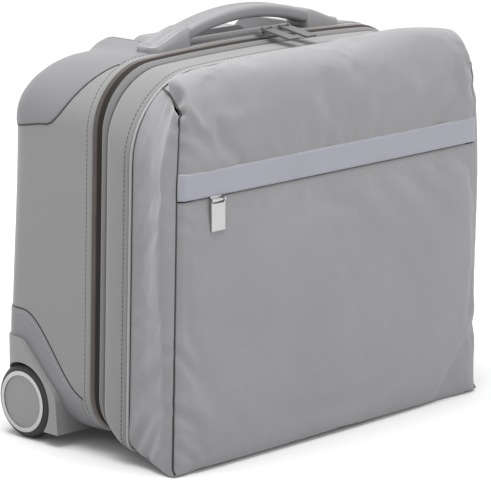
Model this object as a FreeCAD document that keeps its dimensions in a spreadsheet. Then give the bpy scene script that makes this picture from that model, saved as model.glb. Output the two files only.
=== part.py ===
"""Rolling laptop case: a fabric shell on two wheels, a front lid with a pocket, and a telescopic handle.

Axes: X to the case's right, Y to its back, Z up.  The origin is the middle of the case's box, on the
ground.  Distances along Y are given from the plane where the shell's fabric meets the main zip.
Every length below is a Size, which carries both its value and the sheet expression that gives it.
"""
import FreeCAD, Part
import Sketcher
import math
import os

SIZES = {
    # shell
    "shell_width": 428, "shell_taper": 10, "shell_top": 364, "shell_bottom": 14,
    "shell_depth": 118, "shell_wall": 2.5, "top_round": 62, "bottom_round": 46, "rear_round": 28,
    "panel_thickness": 1.2, "board_thickness": 2.5,
    "top_panel_front_drop": 8, "top_panel_rear_drop": 64, "top_panel_run": 46, "top_panel_round": 42,
    "bottom_panel_front": 51, "bottom_panel_near": 28, "bottom_panel_far": 82,
    "bottom_panel_round": 26, "bottom_panel_margin": 27,
    # main zip
    "coil_offset": 2.2, "coil_gap": 0.4, "tape_width": 12, "tape_thickness": 2, "hinge_strip_width": 300,
    # lid ring and front pocket
    "ring_start": 6, "lid_depth": 48, "lid_drop": 6, "lid_wall": 3, "piping_width": 2, "piping_proud": 1.2,
    "pocket_depth": 60, "pocket_wall": 2.5, "pocket_ridge_set": 24, "pocket_crown_rise": 6,
    "pocket_front_drop": 14, "pocket_side_inset": 4, "pocket_front_taper": 10,
    "pocket_front_round": 34, "pocket_foot_round": 5, "foot_trim": 0.3, "gusset_lap": 7,
    "band_height": 24, "band_bottom": 252.5, "band_thickness": 1.5, "band_taper": 2, "slit_height": 8,
    "eye_gap_share": 1.4,
    # wheels and their housings
    "wheel_diameter": 71, "wheel_width": 24, "wheel_inset": 31, "wheel_proud": 3, "tyre_depth": 6.5,
    "tyre_round": 7, "trim_width": 4, "rim_inset": 2, "cap_set": 1, "bearing_radius": 11,
    "bearing_width": 12, "bearing_set": 4, "axle_radius": 4, "axle_clearance": 0.05,
    "axle_head_radius": 7, "wheel_clearance": 2, "housing_wall": 13, "housing_lap": 13.5,
    "housing_proud": 4, "housing_brow": 24, "housing_drop": 1.8, "housing_fit": 0.3,
    "housing_round": 30, "kick_plate_thickness": 2.5, "kick_plate_height": 46,
    # telescopic handle
    "bay_width": 186, "bay_front": 32, "bay_depth": 31, "tray_wall": 2.5, "tube_spacing": 120,
    "tube_room": 34, "outer_tube_width": 26, "outer_tube_depth": 18, "tube_wall": 1.2,
    "tube_fit": 0.4, "tube_bottom": 24, "stage_step": 12, "grip_width": 142, "grip_height": 23,
    "grip_lift": 5, "grip_bar": 14, "grip_depth": 22, "grip_round": 20, "button_length": 36,
    "button_depth": 12, "button_proud": 1.5, "button_travel": 3, "button_fit": 0.2,
    "button_height": 5.5, "spring_radius": 3.2, "spring_wire": 0.35, "spring_pitch": 1.6,
    # carry handle
    "carry_span": 84, "carry_rise": 13, "carry_height": 29, "carry_thickness": 14,
    "carry_width": 25, "carry_back": 16, "shoe_length": 44, "shoe_tip": 5,
    # zip hardware
    "slider_length": 14, "slider_crown": 2.6, "slider_overhang": 5, "slider_left": 12,
    "slider_right": 35, "pull_length": 36, "pull_width": 13, "pull_thickness": 1.8,
    "pull_tilt": 9, "pin_radius": 1, "pin_clearance": 0.05, "pocket_pull_length": 28,
    "pocket_pull_width": 17, "pocket_pull_place": 157, "puller_proud": 6,
    # inside
    "lining_room": 48, "sleeve_width": 376, "sleeve_depth": 34, "sleeve_margin": 5,
    "sleeve_top_gap": 36, "sleeve_wall": 6, "strap_width": 38, "screw_radius": 2,
    "screw_head_radius": 4, "screw_head_height": 2,
}

doc = FreeCAD.newDocument("rolling_laptop_case")
sheet = doc.addObject("Spreadsheet::Sheet", "Dimensions")
for row, (alias, number) in enumerate(SIZES.items(), start=1):
    sheet.set("A%d" % row, alias)
    sheet.set("B%d" % row, str(number))
    sheet.setAlias("B%d" % row, alias)
doc.recompute()


class Size:
    """A length in millimetres together with the sheet expression that gives it."""

    def __init__(self, value, text):
        self.value = value
        self.text = text

    def __add__(self, other):
        other = as_size(other)
        return Size(self.value + other.value, "(%s + %s)" % (self.text, other.text))

    def __sub__(self, other):
        other = as_size(other)
        return Size(self.value - other.value, "(%s - %s)" % (self.text, other.text))

    def __mul__(self, other):
        other = as_size(other)
        return Size(self.value * other.value, "(%s * %s)" % (self.text, other.text))

    def __truediv__(self, other):
        other = as_size(other)
        return Size(self.value / other.value, "(%s / %s)" % (self.text, other.text))

    def __neg__(self):
        return Size(-self.value, "(0 - %s)" % self.text)

    def __radd__(self, other):
        return as_size(other) + self

    def __rsub__(self, other):
        return as_size(other) - self

    def __rmul__(self, other):
        return as_size(other) * self


def as_size(number):
    """A plain number as a Size; a Size stays as it is."""
    return number if isinstance(number, Size) else Size(float(number), "(%r)" % float(number))


class Sheet:
    """The sheet's cells as attributes: Sheet.shell_top is the Size bound to that cell."""

    def __getattr__(self, alias):
        return Size(float(sheet.get(alias)), "Dimensions." + alias)


S = Sheet()
NODES = {}

# ---------------------------------------------------------------- shared places
pocket_reach = S.lid_depth + S.pocket_depth
pocket_ridge = pocket_reach - S.pocket_ridge_set
pocket_front_width = S.shell_width - S.pocket_side_inset * 2
wheel_radius = S.wheel_diameter / 2
wheel_back = S.shell_depth - S.wheel_inset
tube_back = S.shell_depth - S.tube_room
lining_back = S.shell_depth - S.lining_room
bay_floor = S.shell_top - S.bay_depth
grip_rest = bay_floor + S.grip_lift
grip_top = grip_rest + S.grip_height
carry_top = S.shell_top + S.carry_height
housing_top = S.wheel_diameter + S.housing_brow
front_reach = pocket_reach + S.puller_proud
rear_reach = wheel_back + wheel_radius
zip_y = (front_reach - rear_reach) / 2


def back(distance):
    """Y of a place that lies `distance` behind the zip plane."""
    return zip_y + distance


def fore(distance):
    """Y of a place that lies `distance` in front of the zip plane."""
    return zip_y - distance


# ---------------------------------------------------------------- drawing and solids
PLANE_ROLES = {"XY": "XY_Plane", "XZ": "XZ_Plane", "YZ": "YZ_Plane"}
AXIS_TURNS = {
    "X": FreeCAD.Rotation(FreeCAD.Vector(0, 1, 0), 90),
    "Y": FreeCAD.Rotation(FreeCAD.Vector(1, 0, 0), -90),
    "Z": FreeCAD.Rotation(),
}
UPRIGHT = FreeCAD.Rotation(FreeCAD.Vector(1, 0, 0), 90)


def bind(thing, path, size):
    """Tie one property of an object to the sheet."""
    thing.setExpression(path, as_size(size).text)


def tie_point(sketch, geometry, place, across, up):
    """Hold one point of the sketch at the sheet's distances from the origin."""
    index = sketch.addConstraint(Sketcher.Constraint("DistanceX", -1, 1, geometry, place, across.value))
    sketch.setExpression("Constraints[%d]" % index, across.text)
    index = sketch.addConstraint(Sketcher.Constraint("DistanceY", -1, 1, geometry, place, up.value))
    sketch.setExpression("Constraints[%d]" % index, up.text)


def draw_outline(sketch, corners):
    """Draw a closed outline through corners (across, up, round radius), all tied to the sheet."""
    corners = [[as_size(number) for number in (tuple(corner) + (0,))[:3]] for corner in corners]
    points = [FreeCAD.Vector(across.value, up.value, 0) for across, up, radius in corners]
    count = len(corners)
    starts, ends, arcs, turns_left = [None] * count, [None] * count, {}, {}
    for index, (across, up, radius) in enumerate(corners):
        corner = points[index]
        starts[index] = ends[index] = corner
        if radius.value > 0:
            before = (points[index - 1] - corner).normalize()
            after = (points[(index + 1) % count] - corner).normalize()
            half_angle = before.getAngle(after) / 2
            setback = radius.value / math.tan(half_angle)
            bisector = (before + after).normalize()
            bulge = corner + bisector * (radius.value / math.sin(half_angle) - radius.value)
            ends[index] = corner + before * setback
            starts[index] = corner + after * setback
            arcs[index] = Part.Arc(ends[index], bulge, starts[index])
            turns_left[index] = after.cross(before).z > 0
    lines = [sketch.addGeometry(Part.LineSegment(starts[index], ends[(index + 1) % count]), False)
             for index in range(count)]
    for index, (across, up, radius) in enumerate(corners):
        entering, leaving = lines[index - 1], lines[index]
        if index not in arcs:
            sketch.addConstraint(Sketcher.Constraint("Coincident", entering, 2, leaving, 1))
            tie_point(sketch, leaving, 1, across, up)
            continue
        corner = sketch.addGeometry(Part.Point(points[index]), True)
        tie_point(sketch, corner, 1, across, up)
        sketch.addConstraint(Sketcher.Constraint("PointOnObject", corner, 1, entering))
        sketch.addConstraint(Sketcher.Constraint("PointOnObject", corner, 1, leaving))
        arc = sketch.addGeometry(arcs[index], False)
        arc_in, arc_out = (1, 2) if turns_left[index] else (2, 1)
        sketch.addConstraint(Sketcher.Constraint("Tangent", entering, 2, arc, arc_in))
        sketch.addConstraint(Sketcher.Constraint("Tangent", arc, arc_out, leaving, 1))
        bound = sketch.addConstraint(Sketcher.Constraint("Radius", arc, radius.value))
        sketch.setExpression("Constraints[%d]" % bound, radius.text)


def prism(name, plane, corners, start, end):
    """A padded outline on a body's own plane, from `start` to `end` along the plane's normal axis."""
    body = doc.addObject("PartDesign::Body", name)
    sketch = body.newObject("Sketcher::SketchObject", name + "_outline")
    role = PLANE_ROLES[plane]
    support = [feature for feature in body.Origin.OriginFeatures if feature.Role == role][0]
    sketch.AttachmentSupport = [(support, "")]
    sketch.MapMode = "FlatFace"
    faces_front = plane == "XZ"
    bind(sketch, "AttachmentOffset.Base.z", -as_size(start) if faces_front else start)
    draw_outline(sketch, corners)
    pad = body.newObject("PartDesign::Pad", name + "_pad")
    pad.Profile = sketch
    pad.Reversed = faces_front
    bind(pad, "Length", as_size(end) - start)
    body.Tip = pad
    return body


def loft(name, sections):
    """A ruled loft through front views: each section is (corners, place along Y)."""
    sketches = []
    for index, (corners, place) in enumerate(sections):
        sketch = doc.addObject("Sketcher::SketchObject", "%s_section_%d" % (name, index))
        sketch.Placement = FreeCAD.Placement(FreeCAD.Vector(), UPRIGHT)
        bind(sketch, "Placement.Base.y", place)
        draw_outline(sketch, corners)
        sketches.append(sketch)
    solid = doc.addObject("Part::Loft", name)
    solid.Sections = sketches
    solid.Solid = True
    solid.Ruled = True
    return solid


def box(name, low, high):
    """A block between two opposite corners."""
    block = doc.addObject("Part::Box", name)
    for axis, side, near, far in zip("xyz", ("Length", "Width", "Height"), low, high):
        bind(block, "Placement.Base." + axis, near)
        bind(block, side, as_size(far) - near)
    return block


def rod(name, axis, centre, radius, start, end):
    """A cylinder along X, Y or Z; `centre` holds its other two coordinates in order."""
    cylinder = doc.addObject("Part::Cylinder", name)
    cylinder.Placement = FreeCAD.Placement(FreeCAD.Vector(), AXIS_TURNS[axis])
    places = dict(zip([letter for letter in "XYZ" if letter != axis], centre))
    places[axis] = start
    for letter, place in places.items():
        bind(cylinder, "Placement.Base." + letter.lower(), place)
    bind(cylinder, "Radius", radius)
    bind(cylinder, "Height", as_size(end) - start)
    return cylinder


def cut(name, base, *tools):
    """What is left of `base` once every tool is taken away."""
    result = doc.addObject("Part::Cut", name)
    result.Base = base
    result.Tool = tools[0] if len(tools) == 1 else fuse(name + "_tools", *tools)
    return result


def fuse(name, *pieces):
    """Several solids joined, or kept together as a group where they don't touch."""
    result = doc.addObject("Part::MultiFuse", name)
    result.Shapes = list(pieces)
    return result


def common(name, *pieces):
    """The space that all the pieces share."""
    result = doc.addObject("Part::MultiCommon", name)
    result.Shapes = list(pieces)
    return result


def rounded(name, base, radius, wanted):
    """Round those edges of `base` that the test `wanted` picks."""
    doc.recompute()
    result = doc.addObject("Part::Fillet", name)
    result.Base = base
    numbers = [number for number, edge in enumerate(base.Shape.Edges, start=1) if wanted(edge)]
    result.Edges = [(number, as_size(radius).value, as_size(radius).value) for number in numbers]
    return result


def lies_at(axis, place):
    """A test for edges whose every point has the given coordinate."""
    def wanted(edge):
        span = edge.BoundBox
        return (abs(getattr(span, axis + "Min") - place.value) < 0.01
                and abs(getattr(span, axis + "Max") - place.value) < 0.01)
    return wanted


def node(label, solid):
    """Register a finished sub-part under the name of its file."""
    solid.Label = label
    NODES[label] = solid
    return solid


def mirrored_corners(corners):
    """The same outline on the other side of the case's middle plane."""
    return [(-as_size(corner[0]),) + tuple(corner[1:]) for corner in reversed(corners)]


SIDES = (("left", -1), ("right", 1))


def sided(name, sign, low, high):
    """A block given for the right side, put on the side that `sign` names."""
    if sign > 0:
        return box(name, low, high)
    return box(name, (-as_size(high[0]), low[1], low[2]), (-as_size(low[0]), high[1], high[2]))


def sided_rod(name, sign, centre, radius, start, end):
    """A cylinder along X given for the right side, put on the side that `sign` names."""
    if sign > 0:
        return rod(name, "X", centre, radius, start, end)
    return rod(name, "X", centre, radius, -as_size(end), -as_size(start))


def sided_prism(name, sign, corners, start, end):
    """A side view padded along X, given for the right side, put on the side that `sign` names."""
    if sign > 0:
        return prism(name, "YZ", corners, start, end)
    return prism(name, "YZ", corners, -as_size(end), -as_size(start))


# ---------------------------------------------------------------- the case's front view
def case_outline(inset, drop=0):
    """The case's front view, `inset` inside its fabric, with its top `drop` lower."""
    low = S.shell_width / 2 - inset
    high = low - S.shell_taper
    bottom = S.shell_bottom + inset
    top = S.shell_top - drop - inset
    low_round = S.bottom_round - inset
    high_round = S.top_round - inset
    return [(-low, bottom, low_round), (low, bottom, low_round),
            (high, top, high_round), (-high, top, high_round)]


def shell_block(name, inset, front=0):
    """The shell's solid, `inset` inside its fabric, rounded at the back."""
    rear = back(S.shell_depth - inset)
    blank = prism(name + "_blank", "XZ", case_outline(inset), back(front), rear)
    return rounded(name, blank, S.rear_round - inset, lies_at("Y", rear))


def pocket_outline(width, taper, bottom, top, low_round, high_round):
    """One front view of the pocket's loft."""
    return [(-width / 2, bottom, low_round), (width / 2, bottom, low_round),
            (width / 2 - taper, top, high_round), (-width / 2 + taper, top, high_round)]


def pocket_block(name, inset, rear_inset):
    """The pocket's solid from the lid's seam to its front face, `inset` inside its fabric."""
    seam_width = S.shell_width - inset * 2
    front_width = pocket_front_width - inset * 2
    front = fore(pocket_reach - inset)
    foot = inset - S.foot_trim
    sections = [
        (pocket_outline(seam_width, S.shell_taper, S.shell_bottom + inset,
                        S.shell_top - S.lid_drop - inset, S.bottom_round - inset,
                        S.top_round - inset), fore(S.lid_depth + S.piping_width - rear_inset)),
        (pocket_outline(front_width, S.pocket_front_taper, foot,
                        S.shell_top + S.pocket_crown_rise - inset,
                        S.pocket_foot_round, S.pocket_front_round), fore(pocket_ridge)),
        (pocket_outline(front_width, S.pocket_front_taper, foot,
                        S.shell_top - S.pocket_front_drop - inset, S.pocket_foot_round,
                        S.pocket_front_round), front),
    ]
    return loft(name, sections)


# ---------------------------------------------------------------- trolley bay and wheels, shared
bay_low = (-S.bay_width / 2, back(S.bay_front), bay_floor)
bay_high = (S.bay_width / 2, back(S.shell_depth * 2), S.shell_top + S.bay_front)
wheel_y = back(wheel_back)
wheel_z = wheel_radius
wheel_outer = S.shell_width / 2 + S.wheel_proud
wheel_inner = wheel_outer - S.wheel_width
well_inner = wheel_inner - S.wheel_clearance
housing_inner = well_inner - S.housing_wall


def housing_block(name, sign, grow, outer):
    """One wheel housing's solid, `grow` larger all round, out to the distance `outer`."""
    bottom = S.shell_bottom - S.housing_drop - grow
    front = wheel_y - wheel_radius - S.housing_lap - grow
    shell_rear = back(S.shell_depth) + grow
    rear = shell_rear + S.housing_proud
    shelf = S.wheel_diameter - 1 + grow
    top = housing_top + grow
    inner = housing_inner - grow
    side_view = sided_prism(name + "_side", sign, [
        (front, bottom), (rear, bottom, 2), (rear, shelf, 2), (shell_rear, shelf),
        (shell_rear, top), (wheel_y + 2, top, 18), (front + 3, wheel_z + 14, 18)], inner, outer)
    plan = [(inner, front), (outer, front), (outer, rear, S.housing_round), (inner, rear)]
    if sign < 0:
        plan = mirrored_corners(plan)
    return common(name, side_view, prism(name + "_plan", "XY", plan, bottom, top))


# ---------------------------------------------------------------- the shell
def make_shell():
    """Fabric shell, its boards, its sewn-on corner panels and the shell's half of the main zip."""
    skin = shell_block("shell_skin", as_size(0))
    hollow = shell_block("shell_hollow", S.shell_wall)
    bay = box("bay_space", bay_low, bay_high)
    wells = [housing_block("well_space_" + side, sign, S.housing_fit, wheel_outer + S.housing_fit)
             for side, sign in SIDES]
    shell = cut("rear_shell_cut", skin, hollow, bay, *wells)
    node("rear_shell", shell)

    panel_skin = shell_block("panel_skin", -S.panel_thickness)
    layer = cut("panel_layer", panel_skin, skin)
    wide = S.shell_width
    far_back = back(S.shell_depth * 2)
    front_edge = S.shell_top - S.top_panel_front_drop
    rear_edge = S.shell_top - S.top_panel_rear_drop
    guard_top = housing_top + S.bottom_panel_margin
    top_zone = prism("top_panel_zone", "YZ", [
        (back(0), front_edge), (back(S.top_panel_run), rear_edge, S.top_panel_round),
        (far_back, rear_edge), (far_back, S.shell_top * 2), (back(0), S.shell_top * 2)],
        -wide, wide)
    node("top_guard_panel", cut("top_panel_cut", common("top_panel_common", layer, top_zone), bay))
    for side, sign in SIDES:
        zone = sided_prism("bottom_panel_zone_" + side, sign, [
            (back(0), 0), (far_back, 0), (far_back, guard_top),
            (back(S.bottom_panel_far), guard_top, S.bottom_panel_round),
            (back(S.bottom_panel_near), S.bottom_panel_front, S.bottom_panel_round),
            (back(0), S.bottom_panel_front)], housing_inner, wide)
        strip = common("bottom_panel_common_" + side, layer, zone)
        well = [well for well in wells if well.Name.endswith(side)][0]
        node("bottom_guard_" + side, cut("bottom_panel_cut_" + side, strip, well))

    board_zone = box("board_zone", (-wide, back(S.shell_depth - S.shell_wall - S.board_thickness), 0),
                     (wide, back(S.shell_depth), bay_floor - S.board_thickness))
    node("back_board", cut("back_board_cut", common("back_board_common", hollow, board_zone), *wells))
    lining_zone = box("lining_zone", (-wide, back(lining_back - S.board_thickness), 0),
                      (wide, back(lining_back), S.shell_top))
    node("compartment_lining",
         cut("lining_cut", common("lining_common", hollow, lining_zone), bay, *wells))

    tape_outer = prism("tape_outer", "XZ", case_outline(S.shell_wall),
                       fore(S.coil_offset - S.coil_gap / 2), back(S.tape_width))
    tape_inner = prism("tape_inner", "XZ", case_outline(S.shell_wall + S.tape_thickness),
                       fore(S.tape_width), back(S.tape_width * 2))
    strip_space = box("strip_space", (-S.hinge_strip_width / 2, fore(S.tape_width), 0),
                      (S.hinge_strip_width / 2, back(S.tape_width * 2), S.bottom_round))
    node("zip_chain_shell", cut("zip_chain_shell_cut", tape_outer, tape_inner, strip_space))
    strip_zone = cut("hinge_strip_ring", tape_outer, tape_inner)
    node("lid_hinge_strip", common("hinge_strip_common", strip_zone, strip_space))

    kick_skin = shell_block("kick_skin", -S.kick_plate_thickness)
    kick_zone = box("kick_zone", (-housing_inner, back(S.bay_front * 2), -wide),
                    (housing_inner, back(S.shell_depth * 2), S.kick_plate_height))
    kick_layer = cut("kick_layer", kick_skin, skin, *[NODES["bottom_guard_" + side] for side, _ in SIDES])
    node("rear_kick_plate", common("kick_plate_common", kick_layer, kick_zone))
    return skin, hollow


def make_inner_sleeve(hollow):
    """Padded laptop sleeve against the compartment's lining, and the strap over its mouth."""
    half = S.sleeve_width / 2
    rear = back(lining_back - S.board_thickness)
    front = rear - S.sleeve_depth
    floor = housing_top + S.sleeve_margin
    top = S.shell_top - S.sleeve_top_gap
    pad = S.sleeve_wall
    outer = common("sleeve_outer", box("sleeve_block", (-half, front, floor), (half, rear, top)), hollow)
    inner = box("sleeve_space", (-half + pad, front + pad, floor + pad), (half - pad, rear - pad, top * 2))
    node("laptop_sleeve", cut("sleeve_cut", outer, inner))
    strap_half = S.strap_width / 2
    thick = S.panel_thickness
    strap = prism("strap_outer", "YZ", [
        (front - thick, top - S.strap_width), (front, top - S.strap_width), (front, top),
        (rear, top), (rear, top + thick), (front - thick, top + thick)], -strap_half, strap_half)
    node("sleeve_strap", strap)


# ---------------------------------------------------------------- wheels
def make_wheels():
    """A housing, an axle and one wheel on each side; the wheels run on bearings."""
    cap_face = wheel_outer - S.cap_set
    axle_end = wheel_outer - S.bearing_set
    screw_z = housing_top - 17
    head_base = housing_inner - S.screw_head_height * 2
    for side, sign in SIDES:
        hub = (wheel_y, wheel_z)
        block = housing_block("housing_block_" + side, sign, as_size(0), wheel_outer)
        well = sided_rod("housing_well_" + side, sign, hub, wheel_radius + S.wheel_clearance,
                         well_inner, wheel_outer * 2)
        rear_gap = sided("housing_gap_" + side, sign, (well_inner, wheel_y, as_size(0) - 1),
                         (wheel_outer * 2, back(S.shell_depth * 2), wheel_z))
        axle_hole = sided_rod("housing_hole_" + side, sign, hub, S.axle_radius, 0, well_inner * 2)
        screws = [sided_rod("housing_screw_%s_%d" % (side, index), sign,
                            (wheel_y - 26 + index * 20, screw_z), S.screw_radius,
                            head_base, housing_inner + S.housing_wall * 0.7) for index in range(3)]
        node("wheel_housing_" + side, cut("housing_cut_" + side, block, well, rear_gap, axle_hole, *screws))
        heads = [sided_rod("housing_screw_head_%s_%d" % (side, index), sign,
                           (wheel_y - 26 + index * 20, screw_z), S.screw_head_radius,
                           head_base, housing_inner - S.housing_fit)
                 for index in range(3)]
        node("housing_screws_" + side, fuse("housing_screws_fuse_" + side, *(screws + heads)))

        head_start = axle_end - S.screw_head_height
        shank = sided_rod("axle_shank_" + side, sign, hub, S.axle_radius, housing_inner, axle_end)
        head = sided_rod("axle_head_" + side, sign, hub, S.axle_head_radius, head_start, axle_end)
        node("axle_" + side, fuse("axle_fuse_" + side, shank, head))

        bearing_end = head_start - S.housing_fit
        bearing_start = bearing_end - S.bearing_width
        ring = sided_rod("bearing_ring_" + side, sign, hub, S.bearing_radius, bearing_start, bearing_end)
        bore = sided_rod("bearing_bore_" + side, sign, hub, S.axle_radius + S.axle_clearance,
                         bearing_start - 1, bearing_end + 1)
        node("wheel_bearing_" + side, cut("bearing_cut_" + side, ring, bore))

        rim_radius = wheel_radius - S.tyre_depth
        tyre_face = wheel_outer - S.rim_inset / 2
        tyre_blank = sided_rod("tyre_blank_" + side, sign, hub, wheel_radius, wheel_inner, tyre_face)
        soft_tyre = rounded("tyre_round_" + side, tyre_blank, S.tyre_round, lambda edge: edge.Closed)
        tyre_bore = sided_rod("tyre_bore_" + side, sign, hub, rim_radius, wheel_inner - 1, wheel_outer + 1)
        node("wheel_tyre_" + side, cut("tyre_cut_" + side, soft_tyre, tyre_bore))
        rim = sided_rod("rim_blank_" + side, sign, hub, rim_radius, wheel_inner + S.rim_inset,
                        tyre_face - S.trim_width)
        rim_bore = sided_rod("rim_bore_" + side, sign, hub, S.bearing_radius, wheel_inner, wheel_outer)
        node("wheel_rim_" + side, cut("rim_cut_" + side, rim, rim_bore))
        trim = sided_rod("trim_blank_" + side, sign, hub, rim_radius, tyre_face - S.trim_width, wheel_outer)
        trim_bore = sided_rod("trim_bore_" + side, sign, hub, rim_radius - S.trim_width,
                              tyre_face - S.trim_width * 2, wheel_outer + 1)
        node("wheel_trim_ring_" + side, cut("trim_cut_" + side, trim, trim_bore))
        node("wheel_hub_cap_" + side,
             sided_rod("hub_cap_" + side, sign, hub, rim_radius - S.trim_width,
                       tyre_face - S.trim_width / 2, cap_face))


# ---------------------------------------------------------------- telescopic handle
def tube(name, centre_x, width, depth, low, high):
    """A rectangular handle tube with its wall."""
    half_width = width / 2
    half_depth = depth / 2
    tube_y = back(tube_back)
    outer = box(name + "_outer", (centre_x - half_width, tube_y - half_depth, low),
                (centre_x + half_width, tube_y + half_depth, high))
    wall = S.tube_wall
    inner = box(name + "_bore", (centre_x - half_width + wall, tube_y - half_depth + wall, low - 1),
                (centre_x + half_width - wall, tube_y + half_depth - wall, high + 1))
    return cut(name, outer, inner)


def make_trolley_handle(skin, hollow):
    """Bay tray, three nested tube stages, foot bracket, and the grip with its button."""
    wall = S.tray_wall
    tube_y = back(tube_back)
    half = S.tube_spacing / 2
    shrink = (S.tube_wall + S.tube_fit) * 2
    mid_width = S.outer_tube_width - shrink
    mid_depth = S.outer_tube_depth - shrink
    inner_width = mid_width - shrink
    inner_depth = mid_depth - shrink
    mid_top = grip_rest - 1

    tray_block = box("tray_block", bay_low, (bay_high[0], back(S.shell_depth), S.shell_top))
    tray_space = box("tray_space", (bay_low[0] + wall, bay_low[1] + wall, bay_low[2] + wall),
                     (bay_high[0] - wall, bay_high[1], S.shell_top * 2))
    holes = []
    for side, sign in SIDES:
        centre_x = half * sign
        hole_width = mid_width / 2 + S.tube_fit
        hole_depth = mid_depth / 2 + S.tube_fit
        holes.append(box("tray_hole_" + side, (centre_x - hole_width, tube_y - hole_depth, bay_floor - 1),
                         (centre_x + hole_width, tube_y + hole_depth, grip_rest)))
    screw_places = [(sign_x * (half - 30), tube_y + sign_y * 24) for sign_x in (-1, 1) for sign_y in (-1, 1)]
    screws = []
    for index, (screw_x, screw_y) in enumerate(screw_places):
        screws.append(rod("tray_screw_%d" % index, "Z", (screw_x, screw_y), S.screw_radius,
                          bay_floor - wall, bay_floor + wall))
        screws.append(rod("tray_screw_head_%d" % index, "Z", (screw_x, screw_y), S.screw_head_radius,
                          bay_floor + wall, bay_floor + wall + S.screw_head_height))
    tray_in_skin = common("tray_common", cut("tray_hollow", tray_block, tray_space), skin)
    node("handle_bay_tray", cut("tray_cut", tray_in_skin, *(holes + screws)))
    node("tray_screws", fuse("tray_screws_fuse", *screws))

    for side, sign in SIDES:
        centre_x = half * sign
        node("outer_tube_" + side, tube("outer_tube_cut_" + side, centre_x, S.outer_tube_width,
                                        S.outer_tube_depth, S.tube_bottom, bay_floor))
        node("mid_tube_" + side, tube("mid_tube_cut_" + side, centre_x, mid_width, mid_depth,
                                      S.tube_bottom + S.stage_step, mid_top))
        node("inner_tube_" + side, tube("inner_tube_cut_" + side, centre_x, inner_width, inner_depth,
                                        S.tube_bottom + S.stage_step * 2, grip_rest + 1))

    board_front = back(S.shell_depth - S.shell_wall - S.board_thickness)
    bracket_half = half + S.outer_tube_width
    bracket = box("bracket_block", (-bracket_half, back(lining_back), S.shell_bottom + S.shell_wall),
                  (bracket_half, board_front, S.tube_bottom + S.stage_step * 1.5))
    sockets = [box("bracket_socket_" + side,
                   (half * sign - S.outer_tube_width / 2, tube_y - S.outer_tube_depth / 2, S.tube_bottom),
                   (half * sign + S.outer_tube_width / 2, tube_y + S.outer_tube_depth / 2, bay_floor))
               for side, sign in SIDES]
    node("tube_foot_bracket", cut("bracket_cut", common("bracket_common", bracket, hollow), *sockets))

    grip_half = S.grip_width / 2
    leg = inner_width / 2 + S.tube_wall * 3
    leg_inside = half - leg
    underside = grip_top - S.grip_bar
    front_y = tube_y - S.grip_depth / 2
    rear_y = tube_y + S.grip_depth / 2
    grip_block = prism("grip_block", "XZ", [
        (-grip_half, grip_rest), (-leg_inside, grip_rest), (-leg_inside, underside, 6),
        (leg_inside, underside, 6), (leg_inside, grip_rest), (grip_half, grip_rest),
        (grip_half, grip_top, S.grip_round), (-grip_half, grip_top, S.grip_round)], front_y, rear_y)
    tube_pockets = [box("grip_pocket_" + side,
                        (half * sign - inner_width / 2, tube_y - inner_depth / 2, grip_rest),
                        (half * sign + inner_width / 2, tube_y + inner_depth / 2, grip_rest + 1))
                    for side, sign in SIDES]
    button_top = grip_top + S.button_proud
    button_bottom = button_top - S.button_height
    spring_floor = button_bottom - S.button_travel * 2
    fit = S.button_fit
    recess = box("button_recess",
                 (-S.button_length / 2 - fit, tube_y - S.button_depth / 2 - fit, spring_floor),
                 (S.button_length / 2 + fit, tube_y + S.button_depth / 2 + fit, button_top * 2))
    node("grip_body", cut("grip_cut", grip_block, recess, *tube_pockets))
    button = box("button_block", (-S.button_length / 2, tube_y - S.button_depth / 2, button_bottom),
                 (S.button_length / 2, tube_y + S.button_depth / 2, button_top))
    node("release_button", rounded("button_rounded", button, S.button_proud * 0.8,
                                   lies_at("Z", button_top)))
    spring = doc.addObject("Part::Feature", "button_spring_coil")
    wire_radius = S.spring_wire.value
    coil = Part.makeHelix(S.spring_pitch.value, (button_bottom - spring_floor).value - wire_radius * 2,
                          S.spring_radius.value)
    section = Part.Wire(Part.makeCircle(wire_radius, FreeCAD.Vector(S.spring_radius.value, 0, 0),
                                        FreeCAD.Vector(0, 1, 0)))
    spring.Shape = Part.Wire(coil).makePipeShell([section], True, True)
    spring.Placement = FreeCAD.Placement(
        FreeCAD.Vector(0, tube_y.value, spring_floor.value + wire_radius), FreeCAD.Rotation())
    node("button_spring", spring)


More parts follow.
